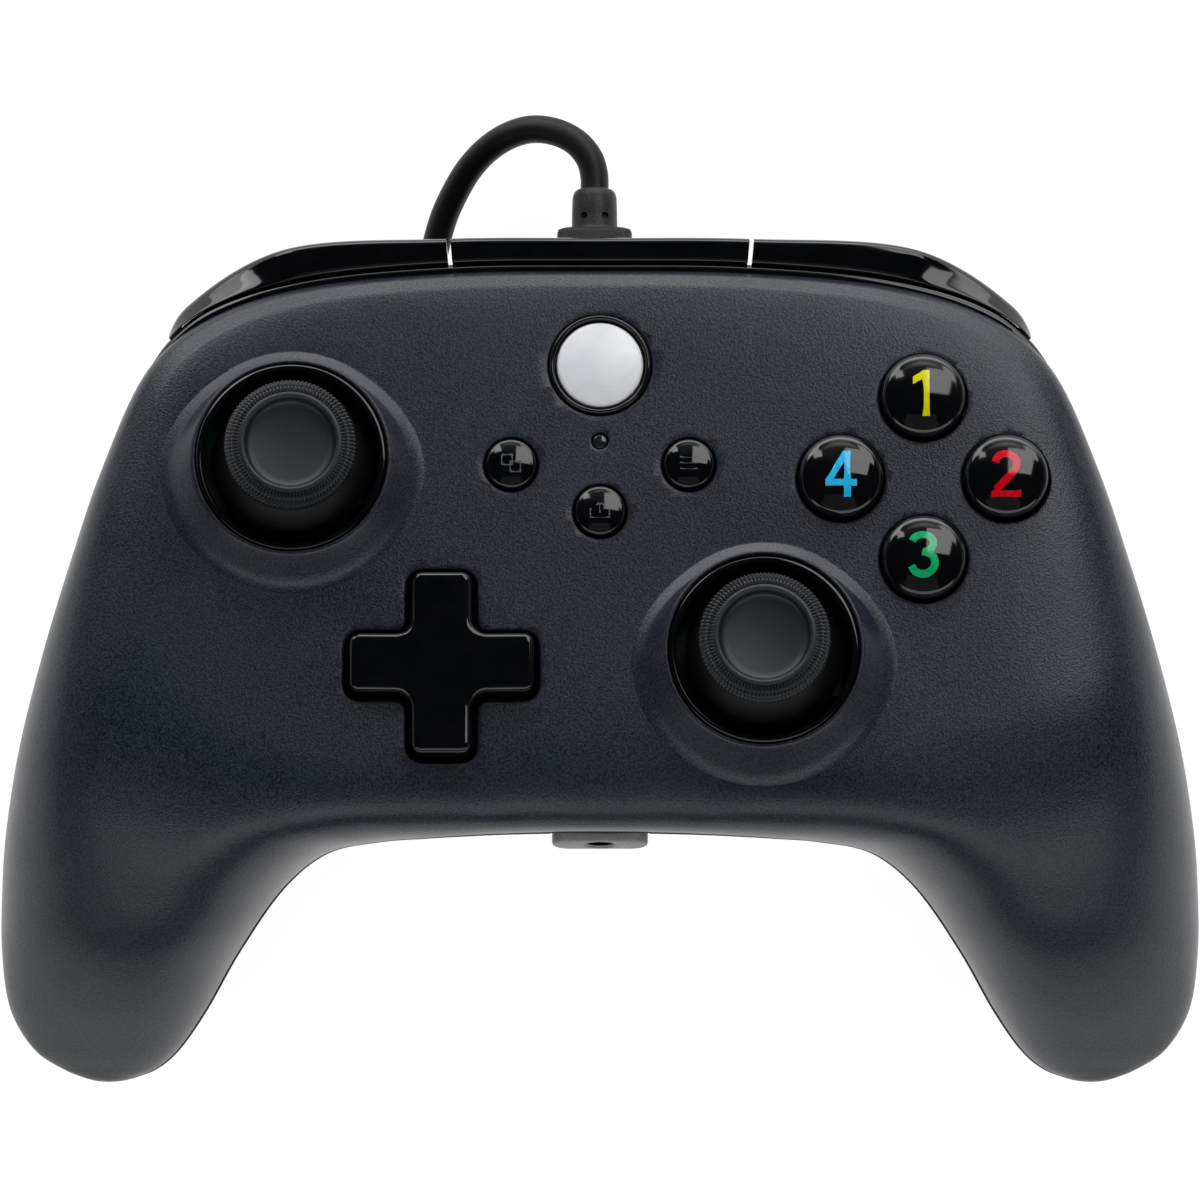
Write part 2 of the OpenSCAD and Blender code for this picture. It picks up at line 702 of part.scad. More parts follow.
// Rumble motors in the grips, in the table frame
motor_at = [56, -38, 17];
motor_r = 6;
motor_l = 13;
motor_shaft_r = 1;
weight_r = 7.4;
weight_l = 4.2;
module at_motor(side) {
  side_of(side) translate([motor_at[0], motor_at[1] + table_shift, motor_at[2]])
    rotate([0, 90, 0]) children();
}
module rumble_motor(side) {
  color("#a8acb0") at_motor(side) {
    cylinder(r = motor_r, h = motor_l);
    translate([0, 0, -1]) cylinder(r = 2, h = 1 + eps);
    translate([0, 0, -6]) cylinder(r = motor_shaft_r, h = 6);
  }
}
module rumble_weight(side) {
  color("#8d8f93") at_motor(side) translate([0, 0, -1.4 - weight_l]) difference() {
    union() {
      intersection() {
        cylinder(r = weight_r, h = weight_l);
        translate([0, -weight_r, 0]) cube([weight_r, 2 * weight_r, weight_l]);
      }
      cylinder(r = 2.6, h = weight_l);
    }
    translate([0, 0, -1]) cylinder(r = motor_shaft_r + pin_gap, h = weight_l + 2);
  }
}
module motor_cradles() {
  floor_z = 1;
  both_sides() for (x = [2.5, 8.5]) difference() {
    translate([motor_at[0] + x, motor_at[1] + table_shift - 4.5, floor_z])
      cube([2, 9, motor_at[2] - floor_z - 2]);
    at_motor(1) translate([0, 0, -1]) cylinder(r = motor_r, h = motor_l + 2);
  }
}

// Headphone jack under the board, with its lip between the grips
jack_w = 12.2;
jack_h = 5.2;
jack_front = -28.7;
jack_l = 13;
jack_bore_r = 1.8;
jack_bore_l = 11.5;
jack_z = board_top - board_t - jack_h / 2;
module headphone_jack() {
  color("#4a4c50") on_face() difference() {
    translate([0, jack_front, jack_z]) rotate([-90, 0, 0]) linear_extrude(jack_l) {
      square([jack_w - 3, jack_h], center = true);
      square([jack_w, jack_h - 3], center = true);
      for (x = [-1, 1], y = [-1, 1]) translate([x * (jack_w / 2 - 1.5), y * (jack_h / 2 - 1.5)]) circle(1.5);
    }
    translate([0, jack_front - 1, jack_z]) rotate([-90, 0, 0]) cylinder(r = jack_bore_r, h = jack_bore_l + 1);
  }
}

// Strain relief of the cable
relief_x = -0.7;
relief_z = -18.2;
relief_wall = [43.4, 46];
relief_flange_end = 52.1;
relief_end = 57.7;
relief_w = 9.6;
relief_h = 7.6;
relief_neck_w = relief_w - 2.8;
relief_neck_h = relief_h - 2.8;
module cable_strain_relief() {
  color("#141517") on_face() translate([relief_x, 0, relief_z]) {
    translate([-relief_w / 2, relief_wall[0] - 1.8, 0.4]) cube([relief_w, 1.7, relief_h / 2 - 0.4]);
    translate([-relief_neck_w / 2, relief_wall[0] - 0.2, 0.4])
      cube([relief_neck_w, 0.4, relief_neck_h / 2 - 0.4]);
    translate([-relief_neck_w / 2, relief_wall[0] - eps, -relief_neck_h / 2])
      cube([relief_neck_w, relief_wall[1] - relief_wall[0] + 2 * eps, relief_neck_h]);
    translate([-relief_w / 2, relief_wall[1], -relief_h / 2])
      cube([relief_w, relief_flange_end - relief_wall[1], relief_h]);
    translate([0, relief_flange_end - eps, 0]) rotate([-90, 0, 0])
      cylinder(r1 = relief_d / 2, r2 = relief_d / 2 - 0.4, h = relief_end - relief_flange_end + eps);
  }
}

// Cable: route of the free stretch in plan coordinates and height, then the coil
cable_r = cable_d / 2;
cable_route = [
  [-0.7, 52.7, 12.2], [-0.75, 54.6, 11.8], [-1.4, 56.8, 11.4], [-3.2, 58.9, 10.8], [-5.9, 60.2, 10],
  [-9, 60.5, 9], [-12, 59.6, 7.8], [-14.7, 57.8, 6.5], [-16.9, 55.4, 5.3], [-18.6, 52.6, 4.3],
  [-20, 49.6, 3.5], [-21, 46.3, 2.9], [-21.7, 42.5, 2.6], [-22.3, 38, 2.5], [-23.6, 32, 2.5],
  [-25.8, 26, 2.5], [-28.4, 20, 2.5], [-30.7, 14, 2.5], [-32, 9, 2.5], [-32.4, 5.2, 2.5]
];
coil_at = [0, 5.2];
coil_r = 32.4;
coil_pitch = 4.06;
coil_low = 2.5;
coil_turn_back = 5.75;
coil_end = 11;
loop_rings = 24;
coil_tight = coil_r - coil_turn_back * coil_pitch;
function coil_point(turn) =
  let (
    climb = step01((turn - coil_turn_back) / 0.5 + 0.5),
    r = coil_tight + coil_pitch * abs(turn - coil_turn_back),
    lift = 2.2 * step01((turn - coil_end + 0.2) / 0.4),
    a = 180 + 360 * turn
  )
    [coil_at[0] + r * cos(a), coil_at[1] + r * sin(a), coil_low + coil_pitch * climb + lift];
tail_route = [
  [-29.8, 0.8, 8.9], [-27.8, -3.4, 10.2], [-24.4, -6.8, 11.4], [-20, -8.6, 12.4], [-15.6, -9, 12.7],
  [-11.8, -9, 12.7]
];
coil_path = concat(
  [for (i = [0 : coil_end * loop_rings]) coil_point(i / loop_rings)],
  tail_route
);
function plan(p) = [p[0], p[1] + table_shift, p[2]];
module cable_lead() {
  color("#101113") tube([for (p = cable_route) plan(p)], cable_r, 8);
}
module cable_coil() {
  color("#101113") tube([for (p = coil_path) plan(p)], cable_r, 6);
}
// Least gap between loops of the coil
least_gap = min([
  for (i = [0 : len(coil_path) - 1]) for (j = [i + 9 : 1 : len(coil_path) - 1])
    norm(coil_path[i] - coil_path[j]) - cable_d
]);
echo(coil_least_gap = least_gap);
function run_length(path) =
  let (steps = [for (i = [1 : len(path) - 1]) norm(path[i] - path[i - 1])])
    steps * [for (d = steps) 1];
echo(cable_length = run_length(cable_route) + run_length(coil_path));

// Tie round the coil and the plug on top of it
tie_w = 6;
tie_t = 0.5;
module cable_tie() {
  inner = [coil_tight - cable_r - 0.5, coil_low - cable_r - 0.1];
  outer = [coil_r + cable_r + 0.5, coil_low + coil_pitch + cable_r + 0.3];
  color("#1b1c1e") translate([coil_at[0], coil_at[1] + table_shift, 0]) rotate([90, 0, 0])
    linear_extrude(tie_w, center = true) difference() {
      translate(inner - [tie_t, tie_t]) square(outer - inner + 2 * [tie_t, tie_t]);
      translate(inner) square(outer - inner);
    }
}
plug_at = [-11.8, -9, 12.7];
plug_l = 22;
plug_w = 15.4;
plug_h = 7.8;
plug_neck_l = 5;
plug_shell_l = 12;
module plug_axis() {
  translate([plug_at[0], plug_at[1] + table_shift, plug_at[2]]) rotate([90, 0, 90]) children();
}
module usb_plug_grip() {
  color("#131416") plug_axis() {
    cylinder(r1 = 2.6, r2 = 3.2, h = plug_neck_l + eps);
    translate([0, 0, plug_neck_l]) linear_extrude(plug_l) {
      square([plug_w - 4, plug_h], center = true);
      square([plug_w, plug_h - 4], center = true);
      for (x = [-1, 1], y = [-1, 1]) translate([x * (plug_w / 2 - 2), y * (plug_h / 2 - 2)]) circle(2);
    }
  }
}
module usb_plug_shell() {
  color("#c0c3c7") plug_axis() translate([0, 0, plug_neck_l + plug_l])
    linear_extrude(plug_shell_l) difference() {
      square([12, 4.5], center = true);
      translate([-5.7, -1.95]) square([11.4, 2]);
    }
}

module front_shell() {
  color("#2b2e36") difference() {
    union() {
      half_shell(true, 2, 14, seam_step);
      collar(left_stick_at);
      collar(right_stick_at);
      on_face() for (p = shell_bosses) face_hole(p, boss_r, inner_face + 0.5, boss_split);
    }
    on_face() {
      for (p = [left_stick_at, right_stick_at]) face_hole(p, stick_hole_r, 10, -8);
      for (p = action_places) face_hole(p, action_d / 2 + button_gap, 5, -8);
      for (p = [view_at, menu_at, share_at]) face_hole(p, small_d / 2 + button_gap, 5, -8);
      face_hole(home_at, home_d / 2 + 0.6, 5, -8);
      face_hole(status_light_at, status_light_r + 0.1, 5, -8);
      translate([dpad_at[0], dpad_at[1], -8]) linear_extrude(14)
        cross_shape(dpad_span + 2 * dpad_gap, dpad_arm + 2 * dpad_gap, 1.3 + dpad_gap);
      for (p = shell_bosses) face_hole(p, screw_r + pin_gap, -5.6, boss_split - 1);
    }
  }
}
module rear_shell() {
  color("#303238") difference() {
    union() {
      half_shell(false, 2, 14, 0);
      on_face() for (p = shell_bosses) face_hole(p, boss_r + 0.6, boss_split, floor_at(p) - 0.5);
      on_face() for (p = board_posts) face_hole(p, 2.5, board_top - board_t, floor_at(p) - 0.5);
      motor_cradles();
      trigger_ears();
    }
    trigger_wells();
    on_face() {
      for (p = shell_bosses) {
        face_hole(p, screw_r + 0.3, boss_split + 1, floor_at(p) - 4);
        face_hole(p, screw_head_r + 0.2, floor_at(p) + 2, floor_at(p) - 6);
      }
      for (p = board_posts) face_hole(p, 0.8, board_top, board_top - 7);
      translate([-jack_w / 2 - 0.2, jack_front - 2, jack_z - jack_h / 2 - 0.2])
        cube([jack_w + 0.4, 10, jack_h + 0.4]);
      translate([relief_x - relief_neck_w / 2 - 0.1, relief_wall[0] - 4, relief_z - relief_neck_h / 2 - 0.1])
        cube([relief_neck_w + 0.2, 10, relief_neck_h + 0.2]);
      both_sides() along_x(trigger_from - 3, trigger_to + 3)
        translate(trigger_at) circle(trigger_pin_r + pin_gap);
    }
  }
}

front_shell();
rear_shell();
top_trim();
bumper_bridge();
bumper(-1);  // left_bumper
bumper(1);  // right_bumper
trigger(-1);  // left_trigger
trigger(1);  // right_trigger
trigger_pin(-1);  // left_trigger_pin
trigger_pin(1);  // right_trigger_pin
trigger_spring(-1);  // left_trigger_spring
trigger_spring(1);  // right_trigger_spring
stick_cap(left_stick_at);  // left_stick_cap
stick_cap(right_stick_at);  // right_stick_cap
stick_ring(left_stick_at);  // left_stick_ring
stick_ring(right_stick_at);  // right_stick_ring
stick_shaft(left_stick_at);  // left_stick_shaft
stick_shaft(right_stick_at);  // right_stick_shaft
stick_pivot(left_stick_at);  // left_stick_pivot
stick_pivot(right_stick_at);  // right_stick_pivot
stick_gimbal(left_stick_at);  // left_stick_gimbal
stick_gimbal(right_stick_at);  // right_stick_gimbal
stick_rocker(left_stick_at);  // left_stick_rocker
stick_rocker(right_stick_at);  // right_stick_rocker
stick_module(left_stick_at);  // left_stick_module
stick_module(right_stick_at);  // right_stick_module
button(action_places[0], action_d, action_rise, 1.1, "#0b0c0e");  // top_button
button(action_places[1], action_d, action_rise, 1.1, "#0b0c0e");  // left_button
button(action_places[2], action_d, action_rise, 1.1, "#0b0c0e");  // right_button
button(action_places[3], action_d, action_rise, 1.1, "#0b0c0e");  // bottom_button
button(home_at, home_disc_d, 0.9, 0.7, "#eceded");  // home_button
home_bezel();
button(view_at, small_d, 1.3, 0.6, "#101115");  // view_button
button(menu_at, small_d, 1.3, 0.6, "#101115");  // menu_button
button(share_at, small_d, 1.3, 0.6, "#101115");  // share_button
status_light();
dpad_cap();
dpad_pivot();
action_pad();
dpad_pad();
menu_pad();
home_switch();
main_board();
board_screws();
shell_screws();
rumble_motor(-1);  // left_rumble_motor
rumble_motor(1);  // right_rumble_motor
rumble_weight(-1);  // left_rumble_weight
rumble_weight(1);  // right_rumble_weight
headphone_jack();
cable_strain_relief();
cable_lead();
cable_coil();
cable_tie();
usb_plug_grip();
usb_plug_shell();
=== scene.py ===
import math

import bmesh
import bpy
import numpy as np
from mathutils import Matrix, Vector
from mathutils.bvhtree import BVHTree
from mathutils.geometry import delaunay_2d_cdt


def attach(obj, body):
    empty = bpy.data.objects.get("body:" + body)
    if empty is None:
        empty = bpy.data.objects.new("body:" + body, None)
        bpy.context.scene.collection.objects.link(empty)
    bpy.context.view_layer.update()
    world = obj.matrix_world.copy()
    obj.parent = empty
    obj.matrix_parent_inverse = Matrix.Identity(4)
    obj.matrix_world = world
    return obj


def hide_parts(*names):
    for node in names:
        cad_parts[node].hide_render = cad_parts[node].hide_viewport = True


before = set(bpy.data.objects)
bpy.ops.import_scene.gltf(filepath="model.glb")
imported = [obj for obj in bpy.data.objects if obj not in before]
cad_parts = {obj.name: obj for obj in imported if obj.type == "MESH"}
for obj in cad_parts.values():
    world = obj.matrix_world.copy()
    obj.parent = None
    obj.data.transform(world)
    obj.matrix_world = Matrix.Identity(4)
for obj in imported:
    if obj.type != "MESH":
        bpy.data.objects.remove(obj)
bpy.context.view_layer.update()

# Wired gamepad seen from above. Shapes are worked out in millimetres and stored in metres.
MM = 0.001
scene = bpy.context.scene


# Frame of the face plate, pitched towards the cable side
FACE_PITCH = math.radians(12)
FACE_Z = 42.0
TABLE_SHIFT = 7.75
PITCH_SIN, PITCH_COS = math.sin(FACE_PITCH), math.cos(FACE_PITCH)
PITCH_RISE = math.tan(FACE_PITCH)


def on_face(points):
    """Points of the face frame as points over the table."""
    p = np.asarray(points, float)
    return np.stack([
        p[..., 0],
        TABLE_SHIFT + PITCH_COS * p[..., 1] + PITCH_SIN * p[..., 2],
        FACE_Z - PITCH_SIN * p[..., 1] + PITCH_COS * p[..., 2],
    ], -1)


def off_face(points):
    """Points over the table as points of the face frame."""
    p = np.asarray(points, float)
    y, z = p[..., 1] - TABLE_SHIFT, p[..., 2] - FACE_Z
    return np.stack([p[..., 0], PITCH_COS * y - PITCH_SIN * z, PITCH_SIN * y + PITCH_COS * z], -1)


def mix(a, b, t):
    return a + (b - a) * t


def step01(t):
    c = np.clip(t, 0, 1)
    return c * c * (3 - 2 * c)


def spline(a, b, c, d, t):
    return 0.5 * (
        2 * b + (c - a) * t + (2 * a - 5 * b + 4 * c - d) * t * t + (3 * b - a - 3 * c + d) * t ** 3)


def smooth_path(points, steps, closed=False):
    """A Catmull-Rom line through points, with so many steps to a span."""
    p = np.asarray(points, float)
    n = len(p)
    out = []
    for i in range(n if closed else n - 1):
        row = [p[(i + k) % n] if closed else p[min(n - 1, max(0, i + k))] for k in (-1, 0, 1, 2)]
        out += [spline(*row, t / steps) for t in range(steps)]
    return np.array(out if closed else out + [p[-1]])


# Materials
def linear(text):
    """An sRGB hex colour in linear light, with alpha."""
    srgb = [int(text[i:i + 2], 16) / 255 for i in (1, 3, 5)]
    return [c / 12.92 if c <= 0.04045 else ((c + 0.055) / 1.055) ** 2.4 for c in srgb] + [1.0]


def put(tree, kind, wires=None, **settings):
    """Add a node with its settings; wires gives its sockets a value or another node's output."""
    made = tree.nodes.new(kind)
    for key, value in settings.items():
        setattr(made, key, value)
    for key, value in (wires or {}).items():
        if isinstance(value, bpy.types.NodeSocket):
            tree.links.new(value, made.inputs[key])
        else:
            made.inputs[key].default_value = value
    return made


def new_material(name):
    material = bpy.data.materials.new(name)
    material.use_nodes = True
    material.node_tree.nodes.clear()
    return material, material.node_tree


# Size of the slow clouds in every gloss, in millimetres
CLOUD_MM = 14.0


def moulded(name, dark, light, grit_mm, depth_mm, rough, spread, contrast=0.12, calm=None, **shader):
    """A moulded or cast finish: two close tones in a fine grit, slow clouds in the gloss, the grit as bump.

    calm, if given, builds the strength of the bump from the place.
    """
    material, tree = new_material(name)
    place = put(tree, "ShaderNodeTexCoord").outputs["Object"]
    grit, cloud = (
        put(tree, "ShaderNodeTexNoise", {"Vector": place, "Scale": 1 / (size * MM), "Detail": 2.0})
        for size in (grit_mm, CLOUD_MM))
    share = put(tree, "ShaderNodeMapRange", {
        "Value": grit.outputs["Fac"], "From Min": 0.5 - contrast, "From Max": 0.5 + contrast})
    tone = put(tree, "ShaderNodeMix", {
        0: share.outputs[0], 6: linear(dark), 7: linear(light)}, data_type="RGBA")
    gloss = put(tree, "ShaderNodeMapRange", {
        "Value": cloud.outputs["Fac"], "From Min": 0.35, "From Max": 0.65,
        "To Min": max(0.01, rough - spread), "To Max": rough + spread})
    bump = put(tree, "ShaderNodeBump", {
        "Height": grit.outputs["Fac"], "Distance": depth_mm * MM,
        "Strength": calm(tree, place) if calm else 1.0})
    surface = put(tree, "ShaderNodeBsdfPrincipled", {
        "Base Color": tone.outputs[2], "Roughness": gloss.outputs[0], "Normal": bump.outputs[0], **shader})
    put(tree, "ShaderNodeOutputMaterial", {0: surface.outputs[0]})
    return material


# A textured skin shades its own highlights, so its mirror share is lower than that of a polished one
TEXTURED = {"Specular IOR Level": 0.3}
# ABS from the rear mould, spark-eroded: a greyer and smoother satin than the front.
rear_mould_abs = moulded(
    "rear_mould_abs", "#1a1c22", "#282b31", 0.2, 0.04, 0.42, 0.03, contrast=0.2, IOR=1.53, **TEXTURED)
# ABS from a mirror-polished mould: black with sharp reflections, and a gloss that wanders a little.
polished_black_abs = moulded(
    "polished_black_abs", "#050608", "#08090c", 2.5, 0.0006, 0.07, 0.025, IOR=1.53)
# Thermoplastic rubber: dark grey, matt, with a fine dry grain of 0.15 mm.
thermoplastic_rubber = moulded(
    "thermoplastic_rubber", "#0f1418", "#181d22", 0.15, 0.01, 0.46, 0.04, contrast=0.25, IOR=1.5)
# Opal ABS, polished: clean white that lets a little light in.
polished_white_abs = moulded(
    "polished_white_abs", "#e4e5ea", "#ebecf0", 3.0, 0.0006, 0.3, 0.03, IOR=1.53)
# Soft vinyl jacket of the cable: black with a broad soft gloss and slight drawing marks.
extruded_vinyl = moulded(
    "extruded_vinyl", "#08090a", "#0e0f10", 0.8, 0.01, 0.48, 0.05, IOR=1.53, **TEXTURED)
# Overmoulded vinyl of the strain relief and plug: same black, in a matt spark texture.
overmoulded_vinyl = moulded(
    "overmoulded_vinyl", "#121315", "#2a2b2e", 0.22, 0.05, 0.45, 0.05, contrast=0.2, IOR=1.53, **TEXTURED)
# Glass-filled nylon of inner frames: pale, faintly cloudy, satin.
moulded_nylon = moulded("moulded_nylon", "#c9c9c2", "#d9d8d2", 1.2, 0.01, 0.45, 0.06, IOR=1.53)
# Black glass-filled nylon of the stick frames.
black_nylon = moulded("black_nylon", "#3f4246", "#54575c", 0.9, 0.015, 0.5, 0.06, IOR=1.53)
# Black acetal of the dome under each stick cap, with a soft gloss. Its dead black is partly the dome's own
# black and partly painted shade, standing in for the deep shade under the cap; on the sleeve in the headphone
# socket's bore it is painted shade.
black_acetal_painted_shade = moulded("black_acetal_painted_shade", "#030304", "#060607", 1.0, 0.004, 0.45, 0.05, IOR=1.48, **TEXTURED)
# Cast silicone of the button pads: grey, waxy.
cast_silicone = moulded("cast_silicone", "#8c8e90", "#9da0a2", 1.6, 0.008, 0.55, 0.05, IOR=1.41)
# Solder mask over glass-epoxy board: glossy green with a weave shadow of 0.8 mm.
solder_mask_board = moulded("solder_mask_board", "#0f4426", "#17592f", 0.8, 0.01, 0.28, 0.06, IOR=1.55)
# Zinc-plated steel of pins, screws, springs and motor cans: pale metal with a fine grain.
plated_steel = moulded(
    "plated_steel", "#b3b6b9", "#c6c8ca", 0.4, 0.004, 0.28, 0.07, Metallic=1.0)
# Nickel-plated shell of the plug: brighter, drawn sheet.
nickel_plate = moulded(
    "nickel_plate", "#c2c3c2", "#d2d3d1", 0.6, 0.002, 0.2, 0.05, Metallic=1.0)
# Grey ABS of the headphone socket's lip, moulded plain: lighter than the shells, with a dry satin.
socket_abs = moulded("socket_abs", "#8f9091", "#a09f9e", 0.35, 0.02, 0.5, 0.05, contrast=0.2, IOR=1.53)
# Smoked polycarbonate of the lamp: nearly black, polished.
smoked_polycarbonate = moulded(
    "smoked_polycarbonate", "#14161a", "#1d2024", 2.0, 0.0004, 0.06, 0.02, IOR=1.58)
# Ink under clear lacquer: even colour, glossy, with the slight mottle of screen printing.
INKS = {"yellow": ("#d2cf08", "#dcd918"), "red": ("#c8001a", "#d60a22"),
        "green": ("#10a064", "#1aae70"), "blue": ("#20aee4", "#30bcec")}
ink = {name: moulded("ink_" + name, *tones, 0.6, 0.0008, 0.12, 0.03, IOR=1.5) for name, tones in INKS.items()}
# Laser-engraved line in the black buttons: a dull grey, rough groove. The grey is partly the engraving's own
# tone and partly painted highlight, standing in for light caught by the groove's edges.
engraved_grey_and_painted_highlight = moulded("engraved_grey_and_painted_highlight", "#3c4048", "#4a4e57", 0.2, 0.01, 0.6, 0.05, IOR=1.5)

# Nylon hook-and-loop strap: a close pile in rows of 0.6 mm, with a dusty sheen on black.
pile_strap, strap_tree = new_material("woven_pile_strap")
strap_place = put(strap_tree, "ShaderNodeTexCoord").outputs["Object"]
strap_rows = put(strap_tree, "ShaderNodeTexWave", {
    "Vector": strap_place, "Scale": 2 * math.pi / (20 * 0.6 * MM), "Distortion": 1.5, "Detail": 2.0},
    bands_direction="Y")
strap_pile = put(strap_tree, "ShaderNodeTexNoise", {
    "Vector": strap_place, "Scale": 1 / (0.25 * MM), "Detail": 3.0})
strap_tone = put(strap_tree, "ShaderNodeMix", {
    0: strap_rows.outputs["Fac"], 6: linear("#121315"), 7: linear("#26282b")}, data_type="RGBA")
strap_bump = put(strap_tree, "ShaderNodeBump", {"Height": strap_rows.outputs["Fac"], "Distance": 0.08 * MM})
strap_nap = put(strap_tree, "ShaderNodeBump", {
    "Height": strap_pile.outputs["Fac"], "Distance": 0.1 * MM, "Normal": strap_bump.outputs[0]})
strap_surface = put(strap_tree, "ShaderNodeBsdfPrincipled", {
    "Base Color": strap_tone.outputs[2], "Roughness": 0.85, "Sheen Weight": 0.4,
    "Normal": strap_nap.outputs[0]})
put(strap_tree, "ShaderNodeOutputMaterial", {0: strap_surface.outputs[0]})


# Mesh building
def mesh_object(name, points, faces, smooth_below=40):
    """A mesh object from points in millimetres, with its faces turned outwards and soft edges smooth."""
    mesh = bpy.data.meshes.new(name)
    mesh.from_pydata((np.asarray(points, float) * MM).tolist(), [], [list(map(int, f)) for f in faces])
    bm = bmesh.new()
    bm.from_mesh(mesh)
    bmesh.ops.recalc_face_normals(bm, faces=bm.faces)
    bm.to_mesh(mesh)
    bm.free()
    obj = bpy.data.objects.new(name, mesh)
    scene.collection.objects.link(obj)
    soften(obj, smooth_below)
    return obj


def soften(obj, smooth_below=40):
    obj.data.shade_smooth()
    obj.data.set_sharp_from_angle(angle=math.radians(smooth_below))


def fit(obj, body, material, slot, *stands_for):
    """Give a piece its finish and its body, and say which solids it stands for."""
    obj.data.materials.clear()
    obj.data.materials.append(material)
    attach(obj, body)
    if stands_for:
        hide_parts(*stands_for)
    return obj


def carve(obj, others, operation="DIFFERENCE", smooth_below=40):
    """Cut other solids out of a piece, or join them to it, and drop them."""
    for other in others:
        cut = obj.modifiers.new("cut", "BOOLEAN")
        cut.operation = operation
        cut.solver = "MANIFOLD"
        cut.object = other
    bpy.context.view_layer.update()
    made = bpy.data.meshes.new_from_object(obj.evaluated_get(bpy.context.evaluated_depsgraph_get()))
    obj.modifiers.clear()
    obj.data = made
    for other in others:
        bpy.data.objects.remove(other)
    soften(obj, smooth_below)
    return obj


def round_edges(obj, width_mm, segments=3):
    """Round a piece's edges that turn by more than 40 degrees."""
    bevel = obj.modifiers.new("rounded_edges", "BEVEL")
    bevel.width = width_mm * MM
    bevel.segments = segments
    bevel.limit_method = "ANGLE"
    bevel.angle_limit = math.radians(40)
    return obj


def revolve(profile, columns, closed=False):
    """Points and faces of a profile of (radius, height) turned about the Z axis; open profiles end on it."""
    points, faces, rings = [], [], []
    turn = np.linspace(0, 2 * math.pi, columns, endpoint=False)
    for r, z in profile:
        if r < 1e-6:
            rings.append([len(points)] * columns)
            points.append([0, 0, z])
        else:
            rings.append(list(range(len(points), len(points) + columns)))
            points += np.stack([r * np.cos(turn), r * np.sin(turn), np.full(columns, z)], -1).tolist()
    pairs = list(zip(rings, rings[1:])) + ([(rings[-1], rings[0])] if closed else [])
    for a, b in pairs:
        for i in range(columns):
            j = (i + 1) % columns
            quad = [a[i], a[j], b[j], b[i]]
            faces.append([v for k, v in enumerate(quad) if v != quad[k - 1]])
    return np.array(points), faces


def loft(rings, ends="caps"):
    """Points and faces of a skin through rings of as many points; its ends get caps, stay open or join."""
    rings = np.asarray(rings, float)
    n, m = rings.shape[:2]
    faces = []
    for j in range(n if ends == "join" else n - 1):
        a, b = j * m, (j + 1) % n * m
        faces += [[a + i, a + (i + 1) % m, b + (i + 1) % m, b + i] for i in range(m)]
    if ends == "caps":
        faces += [list(range(m))[::-1], list(range((n - 1) * m, n * m))]
    return rings.reshape(-1, 3), faces


def lofted(name, rings, place=on_face, ends="caps"):
    """A piece skinned through rings, which place takes from their own frame to the table's."""
    points, faces = loft(rings, ends)
    return mesh_object(name, place(points), faces)


def turned(name, at, profile, columns, closed=False, lift=0.0):
    """A piece turned about an axis square to the face plate."""
    points, faces = revolve(profile, columns, closed)
    return mesh_object(name, on_face(points + [*at, lift]), faces)


def inside(point, ring):
    """Whether a point of the plan lies within a ring."""
    x, y = point
    odd = False
    for (x0, y0), (x1, y1) in zip(ring, np.roll(ring, -1, 0)):
        if (y0 > y) != (y1 > y) and x < x0 + (y - y0) * (x1 - x0) / (y1 - y0):
            odd = not odd
    return odd


def filled(outline, inner_points, holes=()):
    """A flat outline with holes, as triangles that also use the inner points."""
    points, edges = [], []
    for ring in [outline, *holes]:
        first = len(points)
        points += [Vector((float(p[0]), float(p[1]))) for p in ring]
        edges += [(first + i, first + (i + 1) % len(ring)) for i in range(len(ring))]
    points += [Vector((float(p[0]), float(p[1]))) for p in inner_points]
    got = delaunay_2d_cdt(points, edges, [], 1, 1e-5)
    plan = np.array([[p.x, p.y] for p in got[0]])
    tris = [list(f) for f in got[2]]
    tris = [f for f in tris if not any(inside(plan[f].mean(0), np.asarray(h, float)) for h in holes)]
    used = sorted({v for f in tris for v in f})
    place = {v: k for k, v in enumerate(used)}
    return plan[used], [[place[v] for v in f] for f in tris]


def slab(outline, inner_points, top, bottom, holes=()):
    """A closed plate over a flat outline, whose top and bottom follow functions of the plan."""
    plan, tris = filled(outline, inner_points, holes)
    n = len(plan)
    count = {}
    for f in tris:
        for a, b in zip(f, f[1:] + f[:1]):
            count[(a, b)] = count.get((a, b), 0) + 1
    rim = [(a, b) for (a, b) in count if (b, a) not in count]
    upper = np.column_stack([plan, top(plan)])
    lower = np.column_stack([plan, bottom(plan)])
    faces = tris + [[v + n for v in f[::-1]] for f in tris] + [[b, a, a + n, b + n] for a, b in rim]
    return np.vstack([upper, lower]), faces


def arc(cx, cy, r, start, end, steps):
    a = np.radians(np.linspace(start, end, steps + 1))
    return [[cx + r * math.cos(t), cy + r * math.sin(t)] for t in a]


def rounded_rectangle(w, h, r, steps=6):
    x, y = w / 2 - r, h / 2 - r
    return np.array(arc(x, y, r, 0, 90, steps) + arc(-x, y, r, 90, 180, steps)
                    + arc(-x, -y, r, 180, 270, steps) + arc(x, -y, r, 270, 360, steps))


# Camera: straight above, at the photograph's scale of 0.128 mm to a pixel of 1200
FRAME_WIDTH = 153.6
CAMERA_HEIGHT = 2500.0
SHARP_PLANE = 20.0
camera_data = bpy.data.cameras.new("camera")
camera_data.sensor_width = 36.0
camera_data.lens = 36.0 * (CAMERA_HEIGHT - SHARP_PLANE) / FRAME_WIDTH
camera_data.clip_end = 20.0
camera = bpy.data.objects.new("camera", camera_data)
camera.location = (0.0, TABLE_SHIFT * MM, CAMERA_HEIGHT * MM)
scene.collection.objects.link(camera)
scene.camera = camera


